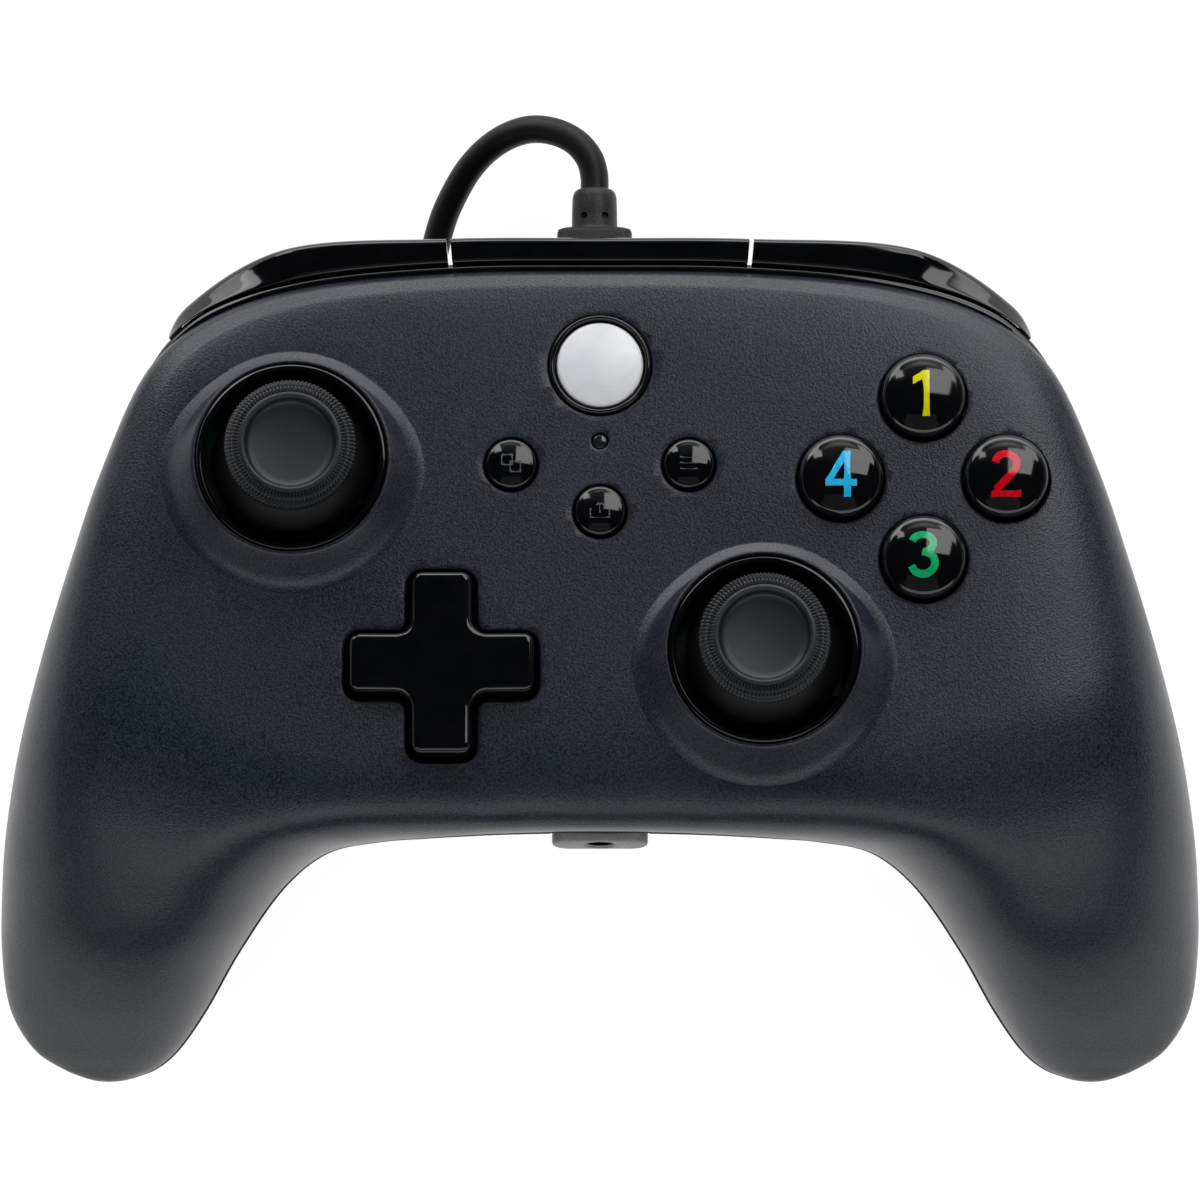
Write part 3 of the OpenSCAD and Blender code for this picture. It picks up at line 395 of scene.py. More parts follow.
# Cable: one line from the strain relief, round the loop, under the body into its coil and on to the plug
CABLE_D = 3.6
CABLE_ROUTE = [
    [-0.7, 52.7, 12.2], [-0.75, 54.6, 11.8], [-1.4, 56.8, 11.4], [-3.2, 58.9, 10.8], [-5.9, 60.2, 10],
    [-9, 60.5, 9], [-12, 59.6, 7.8], [-14.7, 57.8, 6.5], [-16.9, 55.4, 5.3], [-18.6, 52.6, 4.3],
    [-20, 49.6, 3.5], [-21, 46.3, 2.9], [-21.7, 42.5, 2.6], [-22.3, 38, 2.5], [-23.6, 32, 2.5],
    [-25.8, 26, 2.5], [-28.4, 20, 2.5], [-30.7, 14, 2.5], [-32, 9, 2.5], [-32.4, 5.2, 2.5],
]
CABLE_TAIL = [
    [-29.8, 0.8, 8.9], [-27.8, -3.4, 10.2], [-24.4, -6.8, 11.4], [-20, -8.6, 12.4], [-15.6, -9, 12.7],
    [-11.8, -9, 12.7],
]
COIL_AT = (0.0, 5.2)
COIL_R, COIL_PITCH, COIL_LOW = 32.4, 4.06, 2.5
COIL_TURN_BACK, COIL_END = 5.75, 11
COIL_TIGHT = COIL_R - COIL_TURN_BACK * COIL_PITCH


def coil_points(turn):
    climb = step01((turn - COIL_TURN_BACK) / 0.5 + 0.5)
    lift = 2.2 * step01((turn - COIL_END + 0.2) / 0.4)
    r = COIL_TIGHT + COIL_PITCH * np.abs(turn - COIL_TURN_BACK)
    a = math.pi + 2 * math.pi * turn
    return np.stack([
        COIL_AT[0] + r * np.cos(a), COIL_AT[1] + r * np.sin(a), COIL_LOW + COIL_PITCH * climb + lift], -1)


coil = coil_points(np.linspace(0, COIL_END, COIL_END * 48 + 1))
tail = smooth_path(np.vstack([coil[-1:], CABLE_TAIL]), 4)[1:]
cable_path = np.vstack([smooth_path(CABLE_ROUTE, 4), coil[1:], tail]) + [0, TABLE_SHIFT, 0]
cable_curve = bpy.data.curves.new("cable", "CURVE")
cable_curve.dimensions = "3D"
cable_curve.bevel_depth = CABLE_D / 2 * MM
cable_curve.bevel_resolution = 5
cable_curve.use_fill_caps = True
cable_line = cable_curve.splines.new("POLY")
cable_line.points.add(len(cable_path) - 1)
for place, point in zip(cable_line.points, cable_path * MM):
    place.co = (*point, 1.0)
cable_line.use_smooth = True
cable = bpy.data.objects.new("cable", cable_curve)
scene.collection.objects.link(cable)
fit(cable, "housing", extruded_vinyl, "cable", "cable_lead", "cable_coil")

# Tie: a strap round the coil's section, with rounded corners
TIE_W, TIE_T, TIE_CORNER = 6.0, 0.5, 1.6
tie_low = np.array([COIL_TIGHT - CABLE_D / 2 - 0.5, COIL_LOW - CABLE_D / 2 - 0.1])
tie_high = np.array([COIL_R + CABLE_D / 2 + 0.5, COIL_LOW + COIL_PITCH + CABLE_D / 2 + 0.3])
tie_rings = []
for side, grow in ((-1, 0.0), (-1, TIE_T), (1, TIE_T), (1, 0.0)):
    line = rounded_rectangle(*(tie_high - tie_low + 2 * grow), TIE_CORNER + grow)
    y = COIL_AT[1] + TABLE_SHIFT + side * TIE_W / 2
    tie_rings.append([[p[0] + COIL_AT[0], y, p[1]] for p in line + (tie_low + tie_high) / 2])
tie = round_edges(lofted("cable_strap", tie_rings, np.asarray, "join"), 0.15, 2)
fit(tie, "housing", pile_strap, "cable", "cable_tie")

# Plug: ribbed grip with a tapered neck, and a drawn metal shell with its tongue
PLUG_AT = np.array([-11.8, -9 + TABLE_SHIFT, 12.7])
PLUG_L, PLUG_W, PLUG_H, PLUG_NECK, PLUG_SHELL = 22.0, 15.4, 7.8, 5.0, 12.0
SHELL_START = PLUG_NECK + PLUG_L
# Place along the plug and radius of the neck; place and inset along the grip's end and along a rib
NECK = [(0, 2.2), (0.05, 2.5), (0.4, 2.65), (PLUG_NECK - 0.4, 3.1), (PLUG_NECK + 0.5, 3.2)]
GRIP_END = [(0, 0.9), (0.12, 0.45), (0.45, 0.1), (0.9, 0)]
GRIP_RIB = [(0, 0), (0.35, 0.4), (0.9, 0.45), (1.25, 0.05)]
RIB_FIRST, RIB_PITCH = 5, 2.2
# Width, height, corner and place along the shell of its sheet, outside and back inside
SHEET = [(12, 4.5, 0.45, 0), (12, 4.5, 0.45, PLUG_SHELL - 0.25), (11.7, 4.2, 0.45, PLUG_SHELL),
         (11.3, 3.8, 0.2, PLUG_SHELL), (11.2, 3.7, 0.2, PLUG_SHELL - 0.3), (11.2, 3.7, 0.2, 0.3)]
SQUARE = ((-1, -1), (1, -1), (1, 1), (-1, 1))


def along_plug(points):
    """Points of the plug's own frame, whose Z axis runs out along the plug."""
    p = np.asarray(points, float)
    return np.stack([p[..., 2], p[..., 0], p[..., 1]], -1) + PLUG_AT


def plug_piece(name, sections):
    """A piece of the plug, through sections of (outline, place along the plug)."""
    return lofted(name, [[[*p, z] for p in outline] for outline, z in sections], along_plug)


grip_levels = GRIP_END + [(RIB_FIRST + RIB_PITCH * k + z, inset) for k in range(5) for z, inset in GRIP_RIB]
grip_levels += [(PLUG_L - z, inset) for z, inset in GRIP_END[::-1]]
neck = plug_piece("plug_neck", [(arc(0, 0, r, 0, 357.5, 27), z) for z, r in NECK])
plug_grip = plug_piece("plug_grip_moulding", [
    (rounded_rectangle(PLUG_W - 2 * inset, PLUG_H - 2 * inset, 2.0), PLUG_NECK + z)
    for z, inset in grip_levels])
carve(plug_grip, [neck], "UNION", 50)
fit(plug_grip, "housing", overmoulded_vinyl, "cable", "usb_plug_grip")
plug_shell = plug_piece("plug_shell_drawn", [
    (rounded_rectangle(w, h, corner, 4), SHELL_START + z) for w, h, corner, z in SHEET])
tongue_line = rounded_rectangle(10.8, 1.7, 0.15, 2) + [0, 0.9]
tongue = plug_piece("plug_tongue", [(tongue_line, SHELL_START + z) for z in (0.2, PLUG_SHELL - 1.2)])
carve(plug_shell, [
    lofted("latch_hole", [
        [[x + px, side * y, SHELL_START + 4.6 + pz] for px, pz in SQUARE] for y in (2.0, 3.0)], along_plug)
    for x in (-2.6, 2.6) for side in (-1, 1)])
fit(plug_shell, "housing", nickel_plate, "plug_metal", "usb_plug_shell")
fit(tongue, "housing", moulded_nylon, "nylon")


# Body sections from the right grip's tip to the middle: outer end x and y, inner end x and y, seam height
# at the outer and inner end, fullness and squareness
HALF_SECTIONS = np.array([
    [65.4, -61.5, 60.6, -61.5, 15, 15, 0.2, 2],
    [68.6, -60.3, 57.0, -60.3, 15, 15, 0.4, 2],
    [72.6, -57.6, 53.8, -57.6, 15.3, 15.3, 0.64, 2.1],
    [75.6, -52.4, 50.2, -52.4, 16, 16.2, 0.87, 2.2],
    [76.6, -45, 46, -45, 17.5, 18, 1, 2.3],
    [76.5, -37, 40.4, -37, 19.5, 21, 1, 2.4],
    [75.9, -29.5, 34.7, -32.4, 22, 26, 1, 2.6],
    [74.2, -19.2, 28, -30.9, 24.5, 31, 1, 3],
    [71.4, -8, 22, -30.4, 26.5, 34, 1, 3.4],
    [67.8, 4, 17, -30.1, 28, 35, 1, 3.8],
    [63.4, 17, 12.5, -29.9, 28.5, 35.5, 1, 4.2],
    [57.6, 29.4, 9, -29.8, 28.5, 35.7, 1, 4.4],
    [49.5, 36, 6.5, -29.75, 28.2, 35.8, 1, 4.6],
    [37, 39.9, 4.5, -29.7, 28, 35.9, 1, 4.8],
    [19, 41.6, 2.2, -29.7, 28, 36, 1, 5],
    [0, 41.9, 0, -29.7, 28, 36, 1, 5],
])
LAST = 2 * (len(HALF_SECTIONS) - 1)
SECTIONS = np.vstack([HALF_SECTIONS, HALF_SECTIONS[-2::-1] * [-1, 1, -1, 1, 1, 1, 1, 1]])
BODY_DEPTH, WALL, SEAM_GAP, SEAM_STEP = 24.5, 2.0, 0.15, 0.3
GRIP_DEPTH = FACE_Z + PITCH_RISE * 41 - BODY_DEPTH / PITCH_COS


def section_at(s):
    s = np.atleast_1d(np.asarray(s, float))
    k = np.minimum(LAST - 1, np.floor(s)).astype(int)
    rows = [SECTIONS[np.clip(k + d, 0, LAST)] for d in (-1, 0, 1, 2)]
    return spline(*rows, (s - k)[:, None])


def along_grip(x, y):
    return 0.35 * np.abs(x) - 0.94 * y


def face_height(x, y):
    return FACE_Z - PITCH_RISE * y - (0.118 * np.maximum(0, along_grip(x, y) - 30.6)) ** 2


def under_height(x, y):
    belly = GRIP_DEPTH * step01((along_grip(x, y) - 10) / 52) * step01((np.abs(x) - 28) / 26)
    return FACE_Z - PITCH_RISE * y - BODY_DEPTH / PITCH_COS - belly


SEAM_ROUND = 0.35
# The far rim of the front shell is a flat chamfer between these shares of the rise
RIM_LOW, RIM_HIGH = 0.60, 0.75
RIM_MARKS = [RIM_LOW, RIM_LOW + 0.03, RIM_HIGH - 0.03, RIM_HIGH, RIM_HIGH + 0.03]


def section_shares(n, half_span, height, count, rounded):
    """Reach and rise of points along a section's superellipse, even along it and closer where it turns."""
    rise = np.linspace(0, 1, 400)
    reach = np.linspace(1, 0, 400)
    r = np.unique(np.concatenate([(1 - rise ** n) ** (1 / n), reach]))[::-1]
    e = np.maximum(0, 1 - r ** n) ** (1 / n)
    run = np.hypot(np.diff(r) * half_span, np.diff(e) * height)
    heading = np.arctan2(np.diff(e) * height, -np.diff(r) * half_span)
    weight = run + 1.5 * np.abs(np.append(0, np.diff(heading)))
    total = np.append(0, np.cumsum(weight))
    start = np.interp(SEAM_ROUND / height, e, total) if rounded else 0
    marks = np.linspace(start, total[-1], count // 2 + 1)
    marks = np.sort(np.append(marks, np.interp(RIM_MARKS, e, total))) if rounded else marks
    reach_half, rise_half = np.interp(marks, total, r), np.interp(marks, total, e)
    if rounded:
        low = np.array([0, 0.15, 0.45]) * SEAM_ROUND / height
        reach_half = np.append(np.interp(low, e, r), reach_half)
        rise_half = np.append(low, rise_half)
    return (np.append(reach_half, -reach_half[-2::-1]), np.append(rise_half, rise_half[-2::-1]))


def shell_rows(s_values, up, inset, inner_back, count, rounded):
    rows = []
    sign = 1 if up else -1
    for s, q in zip(s_values, section_at(s_values)):
        span = math.hypot(q[0] - q[2], q[1] - q[3])
        mid = (q[0] + q[2]) / 2, (q[1] + q[3]) / 2
        skin_mid = face_height(*mid) if up else under_height(*mid)
        height = max(1.0, q[6] * abs(skin_mid - (q[4] + q[5]) / 2) - inset)
        reach, rise = section_shares(q[7], span / 2, height, count, rounded)
        if up and rounded:
            ends = np.interp([RIM_LOW, RIM_HIGH], rise[:len(rise) // 2], reach[:len(rise) // 2])
            flat = mix(ends[0], ends[1], (rise - RIM_LOW) / (RIM_HIGH - RIM_LOW))
            on_rim = (reach > 0) & (rise > RIM_LOW) & (rise < RIM_HIGH)
            reach = np.where(on_rim, mix(reach, flat, step01((min(s, LAST - s) - 9.5) / 1.5)), reach)
        lift = rise * height
        pull = SEAM_ROUND - np.sqrt(np.maximum(0, SEAM_ROUND ** 2 - (SEAM_ROUND - lift) ** 2))
        pull = np.where(lift < SEAM_ROUND, pull, 0) * np.sign(reach) if rounded else 0
        t = mix(inset / span, 1 - (inset + inner_back) / span, (1 - reach) / 2) + pull / span
        x, y = mix(q[0], q[2], t), mix(q[1], q[3], t)
        seam = mix(q[4], q[5], t) + sign * SEAM_GAP / 2
        skin = face_height(x, y) if up else under_height(x, y)
        reachable = np.maximum(0.3, q[6] * np.abs(skin - seam) - inset)
        z = np.maximum(0, seam + sign * reachable * rise)
        rows.append(np.stack([x, y + TABLE_SHIFT, z], -1))
    return np.array(rows)


# Section where the grips' tips begin, how far these reach, and the inner skin's first section
TIP_START, TIP_REACH, INNER_FIRST = 0.5, 0.74, 2


def half_shell(name, up, rows_per_span, columns, inner_back):
    """A half shell between the seam and the skin, with rounded grip tips and a hollow inside."""
    row_count = int((LAST - 2 * TIP_START) * rows_per_span) + 1
    outer = shell_rows(np.linspace(TIP_START, LAST - TIP_START, row_count), up, 0, inner_back, columns, True)
    inner = shell_rows(np.arange(INNER_FIRST, LAST - INNER_FIRST + 1), up, WALL, inner_back, 28, False)
    caps, poles = [], []
    for row in (outer[0], outer[-1]):
        middle = np.array([(row[0, 0] + row[-1, 0]) / 2, row[0, 1], row[0, 2]])
        caps.append([middle + (row - middle) * math.sqrt(1 - t) + [0, -TIP_REACH * t, 0]
                     for t in (0.12, 0.3, 0.5, 0.7, 0.86, 0.96)])
        poles.append(middle + [0, -TIP_REACH, 0])
    skin = np.concatenate([caps[0][::-1], outer, caps[1]])
    n, across = skin.shape[:2]
    m, inner_across = inner.shape[:2]
    first = n * across
    pole = [first + m * inner_across, first + m * inner_across + 1]
    points = np.vstack([skin.reshape(-1, 3), inner.reshape(-1, 3), poles])
    faces = [[a, a + 1, a + across + 1, a + across]
             for j in range(n - 1) for a in range(j * across, (j + 1) * across - 1)]
    faces += [[a, a + inner_across, a + inner_across + 1, a + 1] for j in range(m - 1)
              for a in range(first + j * inner_across, first + (j + 1) * inner_across - 1)]
    for end, j in ((0, 0), (1, n - 1)):
        faces += [[pole[end], a, a + 1] for a in range(j * across, (j + 1) * across - 1)]
    lead = len(caps[0]) + 1 + int((INNER_FIRST - TIP_START) * rows_per_span)
    for i_out, i_in in ((0, 0), (across - 1, inner_across - 1)):
        near = [first + j * inner_across + i_in for j in range(m)]
        edge = [pole[0]] + [j * across + i_out for j in range(n)] + [pole[1]]
        for k in range(lead):
            faces += [[near[0], edge[k], edge[k + 1]], [near[-1], edge[-1 - k], edge[-2 - k]]]
        for j in range(m - 1):
            at = lead + j * rows_per_span
            faces += [[near[j], edge[at + k], edge[at + k + 1]] for k in range(rows_per_span)]
            faces.append([near[j], edge[at + rows_per_span], near[j + 1]])
    for end, j in ((0, 0), (1, m - 1)):
        row = [first + j * inner_across + i for i in range(inner_across)]
        faces += [[pole[end], row[0], row[-1]], row]
    return mesh_object(name, points, faces)


# Places on the face plate
STICKS = {"left": (-39.2, 17.9), "right": (20.8, -7.0)}
ACTION_AT, ACTION_SPREAD, ACTION_D = (41.1, 15.85), 10.5, 10.7
ACTION = {
    name: (ACTION_AT[0] + ACTION_SPREAD * x, ACTION_AT[1] + ACTION_SPREAD * y)
    for name, x, y in (("top", 0, 1), ("left", -1, 0), ("right", 1, 0), ("bottom", 0, -1))}
SMALL = {"view": (-11.3, 17.6), "menu": (11.3, 17.6), "share": (0.0, 11.5)}
SMALL_D, HOME_AT, HOME_D, LAMP_AT, LAMP_R = 6.4, (0.0, 30.6), 12.0, (0.0, 20.7), 1.0
BUTTON_GAP = 0.3
DPAD_AT, DPAD_SPAN, DPAD_ARM, DPAD_GAP, DPAD_RISE = (-20.1, -8.5), 23.4, 7.6, 0.75, 2.6
DPAD_CORNER, DPAD_INNER = 1.3, 2.0
STICK_HOLE_R, COLLAR_H = 12.25, 3.4
BOSSES = [(26, 33), (-26, 33), (53, 0), (-53, 0), (33, -16), (-33, -16)]
BOARD_TOP, BOARD_T = -11.0, 1.6


def cross_outline(span, arm, corner, inner, steps=8):
    """A cross with rounded ends and filleted inner corners."""
    line = []
    c, e = span / 2 - corner, arm / 2 - corner
    for k in range(4):
        piece = arc(c, -e, corner, -90, 0, steps) + arc(c, e, corner, 0, 90, steps)
        piece += arc(arm / 2 + inner, arm / 2 + inner, inner, 270, 180, steps)
        a = math.radians(90 * k)
        line += [[x * math.cos(a) - y * math.sin(a), x * math.sin(a) + y * math.cos(a)] for x, y in piece]
    return np.array(line)


def dpad_outline(inset):
    return cross_outline(DPAD_SPAN - 2 * inset, DPAD_ARM - 2 * inset, DPAD_CORNER - inset, DPAD_INNER + inset)


def face_prism(name, at, outline, levels):
    """A prism on the face plate, through levels of (height, growth of the outline)."""
    line = np.asarray(outline, float)
    way = np.roll(line, -1, 0) - np.roll(line, 1, 0)
    normal = np.stack([way[:, 1], -way[:, 0]], -1) / np.linalg.norm(way, axis=1)[:, None]
    return lofted(name, [
        np.column_stack([line + normal * grow + at, np.broadcast_to(z, len(line))]) for z, grow in levels])


def circle(r, steps=72):
    return np.array(arc(0, 0, r, 0, 360 - 360 / steps, steps - 1))


def away_from_collars(tree, place):
    """0 on the stick collars, where the mould is polished, and 1 on the open face."""
    nearest = None
    axis = on_face([0, 0, 1]) - on_face([0, 0, 0])
    for at in STICKS.values():
        foot = on_face([*at, 0]) * MM
        offset = put(tree, "ShaderNodeVectorMath", {0: place, 1: foot}, operation="SUBTRACT")
        across = put(tree, "ShaderNodeVectorMath", {
            0: offset.outputs[0], 1: axis}, operation="CROSS_PRODUCT")
        reach = put(tree, "ShaderNodeVectorMath", {0: across.outputs[0]}, operation="LENGTH").outputs["Value"]
        nearest = reach if nearest is None else put(
            tree, "ShaderNodeMath", {0: nearest, 1: reach}, operation="MINIMUM").outputs[0]
    return put(tree, "ShaderNodeMapRange", {
        "Value": nearest, "From Min": 12.8 * MM, "From Max": 15.6 * MM, "To Min": 0.12}).outputs[0]


# ABS moulded in a spark-eroded mould: a dark blue-grey satin that breaks into fine pale specks, and runs out
# to a plain satin on the stick collars. The pale specks are partly the grit's own tone and partly painted
# glints: the lighter tone sits on the raised grit and stands in for light sparkling off it. The real grit is
# about 0.1 mm; it is drawn at 0.26 mm.
spark_textured_abs = moulded(
    "spark_textured_abs", "#0a0d13", "#2a303d", 0.26, 0.05, 0.34, 0.03, contrast=0.14,
    calm=away_from_collars, IOR=1.53, **{"Specular IOR Level": 0.42})

# Front shell: the skin, finer round the sticks, a collar round each stick, then the openings
FINE_R, FINE_LOW = 19.5, -4
front_shell = half_shell("front_shell_moulding", True, 10, 100, SEAM_STEP)
bm = bmesh.new()
bm.from_mesh(front_shell.data)
near = set()
for v in bm.verts:
    p = off_face(np.array(v.co) / MM)
    if p[2] > FINE_LOW and any(math.hypot(p[0] - a[0], p[1] - a[1]) < FINE_R for a in STICKS.values()):
        near.add(v)
edges = [e for e in bm.edges if e.verts[0] in near and e.verts[1] in near]
bmesh.ops.subdivide_edges(bm, edges=edges, cuts=3, use_grid_fill=True)
bm.normal_update()
skin_tree = BVHTree.FromBMesh(bm)
bm.to_mesh(front_shell.data)
bm.free()


def skin_heights(points):
    """Height of the front shell's skin in the face frame under points of the face plate."""
    down = Vector(on_face([0, 0, -1]) - on_face([0, 0, 0]))
    heights = []
    for x, y in points:
        hit = skin_tree.ray_cast(Vector(on_face([x, y, 12]) * MM), down)[0]
        heights.append(off_face(np.array(hit) / MM)[2] if hit else 0.0)
    return np.array(heights)


# Radius and height over the skin of a collar's rings, on the far side and on the near side
COLLAR_FAR = np.array([
    [12.0, -1], [12.0, COLLAR_H], [12.55, COLLAR_H], [12.65, 3.36], [12.72, 3.25], [12.77, 3.05],
    [12.85, 2.2], [12.93, 1.2], [13.0, 0.8], [13.12, 0.7], [14.1, 0.2], [14.35, 0.08],
    [14.6, -0.06], [14.6, -1]])
COLLAR_NEAR = np.array([
    [12.0, -1], [12.0, COLLAR_H], [12.55, COLLAR_H], [12.7, 3.34], [12.85, 3.22], [13.05, 3.05], [14.0, 2.15],
    [15.0, 1.15], [15.5, 0.68], [15.9, 0.4], [16.35, 0.17], [16.8, 0.03], [17.15, -0.06], [17.15, -1]])


def collar(at):
    """A stick's collar: a plain cone on the near side, and a steep wall with a low skirt on the far side."""
    turn = np.linspace(0, 2 * math.pi, 192, endpoint=False)
    share = step01((np.sin(turn) + 0.15) / 1.05)
    rings = []
    for near_ring, far_ring in zip(COLLAR_NEAR, COLLAR_FAR):
        r, lift = mix(near_ring[0], far_ring[0], share), mix(near_ring[1], far_ring[1], share)
        plan = np.stack([r * np.cos(turn), r * np.sin(turn)], -1) + at
        rings.append(np.column_stack([plan, skin_heights(plan) + lift]))
    return lofted("collar", rings, ends="join")


def opening(name, at, outline, chamfer, lift=0.0):
    """A cutter for an opening whose edge is rounded where it meets the skin, or a collar of that height."""
    line = np.asarray(outline, float)
    z = skin_heights(line + at) + lift
    levels = [(np.full(len(z), -8.0), 0.0), (z - 1.3 * chamfer, 0.0), (z - 0.55 * chamfer, 0.13 * chamfer),
              (z - 0.2 * chamfer, 0.45 * chamfer), (z + 0.02, chamfer), (z + 0.5 * chamfer, 1.9 * chamfer),
              (np.full(len(z), 9.0), 1.9 * chamfer)]
    return face_prism(name, at, line, levels)


cutters = [opening("stick_opening", at, circle(STICK_HOLE_R, 192), 0.16, COLLAR_H) for at in STICKS.values()]
cutters += [opening("button_opening", at, circle(ACTION_D / 2 + BUTTON_GAP), 0.3) for at in ACTION.values()]
cutters += [opening("small_opening", at, circle(SMALL_D / 2 + BUTTON_GAP), 0.25) for at in SMALL.values()]
cutters.append(opening("home_opening", HOME_AT, circle(HOME_D / 2 + 0.6), 0.25))
cutters.append(opening("lamp_opening", LAMP_AT, circle(LAMP_R + 0.1, 40), 0.2))
cutters.append(opening("cross_opening", DPAD_AT, dpad_outline(-DPAD_GAP), 0.3))
posts = [face_prism("boss", at, circle(2.8, 24), [(-1.4, 0), (BOARD_TOP - 3, 0)]) for at in BOSSES]
carve(front_shell, posts + [collar(at) for at in STICKS.values()], "UNION")
carve(front_shell, cutters, smooth_below=36)
fit(front_shell, "housing", spark_textured_abs, "shell", "front_shell")

# Rear shell: the lower skin with bosses, trigger ears and wells, socket and cable openings
FLOOR = -BODY_DEPTH + WALL


def floor_at(at):
    """Height of the rear shell's inner floor under a place of the face plate."""
    z = FLOOR
    for _ in range(4):
        y = PITCH_COS * at[1] + PITCH_SIN * z
        z = (under_height(at[0], y) + WALL - FACE_Z + PITCH_SIN * at[1]) / PITCH_COS
    return float(z)


def face_extrude_x(name, outline, x_from, x_to):
    """A prism along X from an outline in the face frame's YZ plane."""
    return lofted(name, [[[x, p[0], p[1]] for p in outline] for x in (x_from, x_to)])


def face_block(name, low, high):
    """A block square to the face plate, between two corners."""
    (x0, y0, z0), (x1, y1, z1) = low, high
    return lofted(name, [[[x0, y0, z], [x1, y0, z], [x1, y1, z], [x0, y1, z]] for z in (z0, z1)])


TRIGGER_AT, TRIGGER_FROM, TRIGGER_TO = (41.0, -18.8), 25.6, 42.0
rear_shell = half_shell("rear_shell_moulding", False, 8, 84, 0)
rear_adds = [
    face_prism("boss", at, circle(3.4, 28), [(floor_at(at) - 0.5, 0), (BOARD_TOP - 3, 0)]) for at in BOSSES]
ear = [[36, -23], [41, -21.3], [42.9, -20], [42.9, -17.6], [41, -16.3], [36, -15]]
well = [[37, -14.4], [60, -14.4], [60, -40], [41, -40], [37, -23]]
rear_cuts = []
for side in (1, -1):
    for x in (TRIGGER_FROM - 2.3, TRIGGER_TO + 0.3):
        rear_adds.append(face_extrude_x("ear", ear, side * x, side * (x + 2)))
    rear_cuts.append(face_extrude_x("well", well, side * (TRIGGER_FROM - 0.3), side * (TRIGGER_TO + 0.3)))
carve(rear_shell, rear_adds, "UNION")
for at in BOSSES:
    rear_cuts.append(face_prism(
        "counterbore", at, circle(2.4, 32), [(floor_at(at) - 6, 0), (floor_at(at) + 2, 0)]))
    rear_cuts.append(face_prism("screw_way", at, circle(1.2, 20), [(floor_at(at) + 1, 0), (-12, 0)]))
for side in (1, -1):
    rear_cuts.append(face_extrude_x(
        "pin_way", circle(1.25, 24) + TRIGGER_AT, side * (TRIGGER_FROM - 3), side * (TRIGGER_TO + 3)))
JACK_W, JACK_H, JACK_FRONT, JACK_L = 12.2, 5.2, -28.7, 13.0
JACK_Z = BOARD_TOP - BOARD_T - JACK_H / 2
RELIEF_X, RELIEF_Z = -0.7, -18.2
rear_cuts.append(face_block(
    "socket_way", (-JACK_W / 2 - 0.2, JACK_FRONT - 2, JACK_Z - JACK_H / 2 - 0.2),
    (JACK_W / 2 + 0.2, JACK_FRONT + 8, JACK_Z + JACK_H / 2 + 0.2)))
rear_cuts.append(face_block(
    "relief_way", (RELIEF_X - 3.5, 39.4, RELIEF_Z - 2.5), (RELIEF_X + 3.5, 49.4, RELIEF_Z + 2.5)))
carve(rear_shell, rear_cuts, smooth_below=32)
fit(rear_shell, "housing", rear_mould_abs, "rear", "rear_shell")


# Bands along the cable side
TRIM_EDGE = np.array([[57.9, 29.9], [50.3, 36.8], [37.4, 40.95], [19, 42.75], [0, 43]])
BUMPER_EDGE = np.array([[55.9, 31], [52.6, 37.6], [40, 44.8], [19.3, 46.1], [0, 46.2]])
BAND_FIRST = 11
BUMPER_LOW, BUMPER_HIGH = 18.6, 29.4


def band_points(edge, s):
    """Points of a line along the cable side, given for its right half, at places counted as the sections."""
    rows = np.vstack([edge, edge[-2::-1] * [-1, 1]])
    s = np.atleast_1d(np.asarray(s, float)) - BAND_FIRST
    k = np.clip(np.floor(s), 0, 7).astype(int)
    at = [rows[np.clip(k + d, 0, 8)] for d in (-1, 0, 1, 2)]
    return spline(*at, (s - k)[:, None])


def band(name, s_from, s_to, steps, inner_edge, outer_edge, gap, profile):
    """A strip swept along the cable side between two lines of the plan."""
    s = np.linspace(s_from, s_to, steps + 1)
    inner, outer = inner_edge(s), outer_edge(s)
    way = (outer - inner) / np.linalg.norm(outer - inner, axis=1)[:, None]
    inner = inner + np.reshape(gap(s), (-1, 1)) * way
    return lofted(name, [
        [[*(mix(inner[k], outer[k], p[0]) + [0, TABLE_SHIFT]), p[1]] for p in profile(s[k])]
        for k in range(len(s))], np.asarray)


def shell_edge(s):
    return section_at(s)[:, :2]


def trim_edge(s):
    """Outer line of the trim, which runs out on the shell at both ends."""
    s = np.atleast_1d(np.asarray(s, float))
    share = step01((np.minimum(s, LAST - s) - 10.95) / 0.55)[:, None]
    return mix(shell_edge(s), band_points(TRIM_EDGE, s), share)


def bumper_edge(s):
    return band_points(BUMPER_EDGE, s)


def trim_profile(s):
    z = float(section_at(s)[0, 4])
    return [[1, z - 4], [1, z + 0.4], [0.95, z + 0.75], [0.8, z + 1.05], [0.55, z + 1.25], [0.25, z + 1.3],
            [0.08, z + 1.2], [0, z + 0.95], [0, z - 4]]


# Share of the bumper's width and drop below its top, from the far side to the trim
BUMPER_DROPS = [
    (1, 4.4), (1, 2.0), (0.995, 1.2), (0.97, 0.75), (0.92, 0.44), (0.8, 0.2), (0.5, 0.06), (0.25, 0.0),
    (0.12, 0.02), (0.05, 0.1), (0.012, 0.28), (0, 0.55)]
BUMPER_BOW = smooth_path([[share, BUMPER_HIGH - drop] for share, drop in BUMPER_DROPS], 4).tolist()


def bumper_gap(s):
    """Gap between a bumper and the trim, wider towards the outer ends, where the bumper swings sideways."""
    return 0.12 + 0.12 * (1 - step01((np.minimum(s, LAST - s) - 11.6) / 1.2))


def lap_on_shell(s):
    """The trim laps a little over the shell."""
    return np.full_like(s, -0.3)


# Drop of the far top edge at the outer ends, where the top turns outwards
BUMPER_TWIST = 1.9


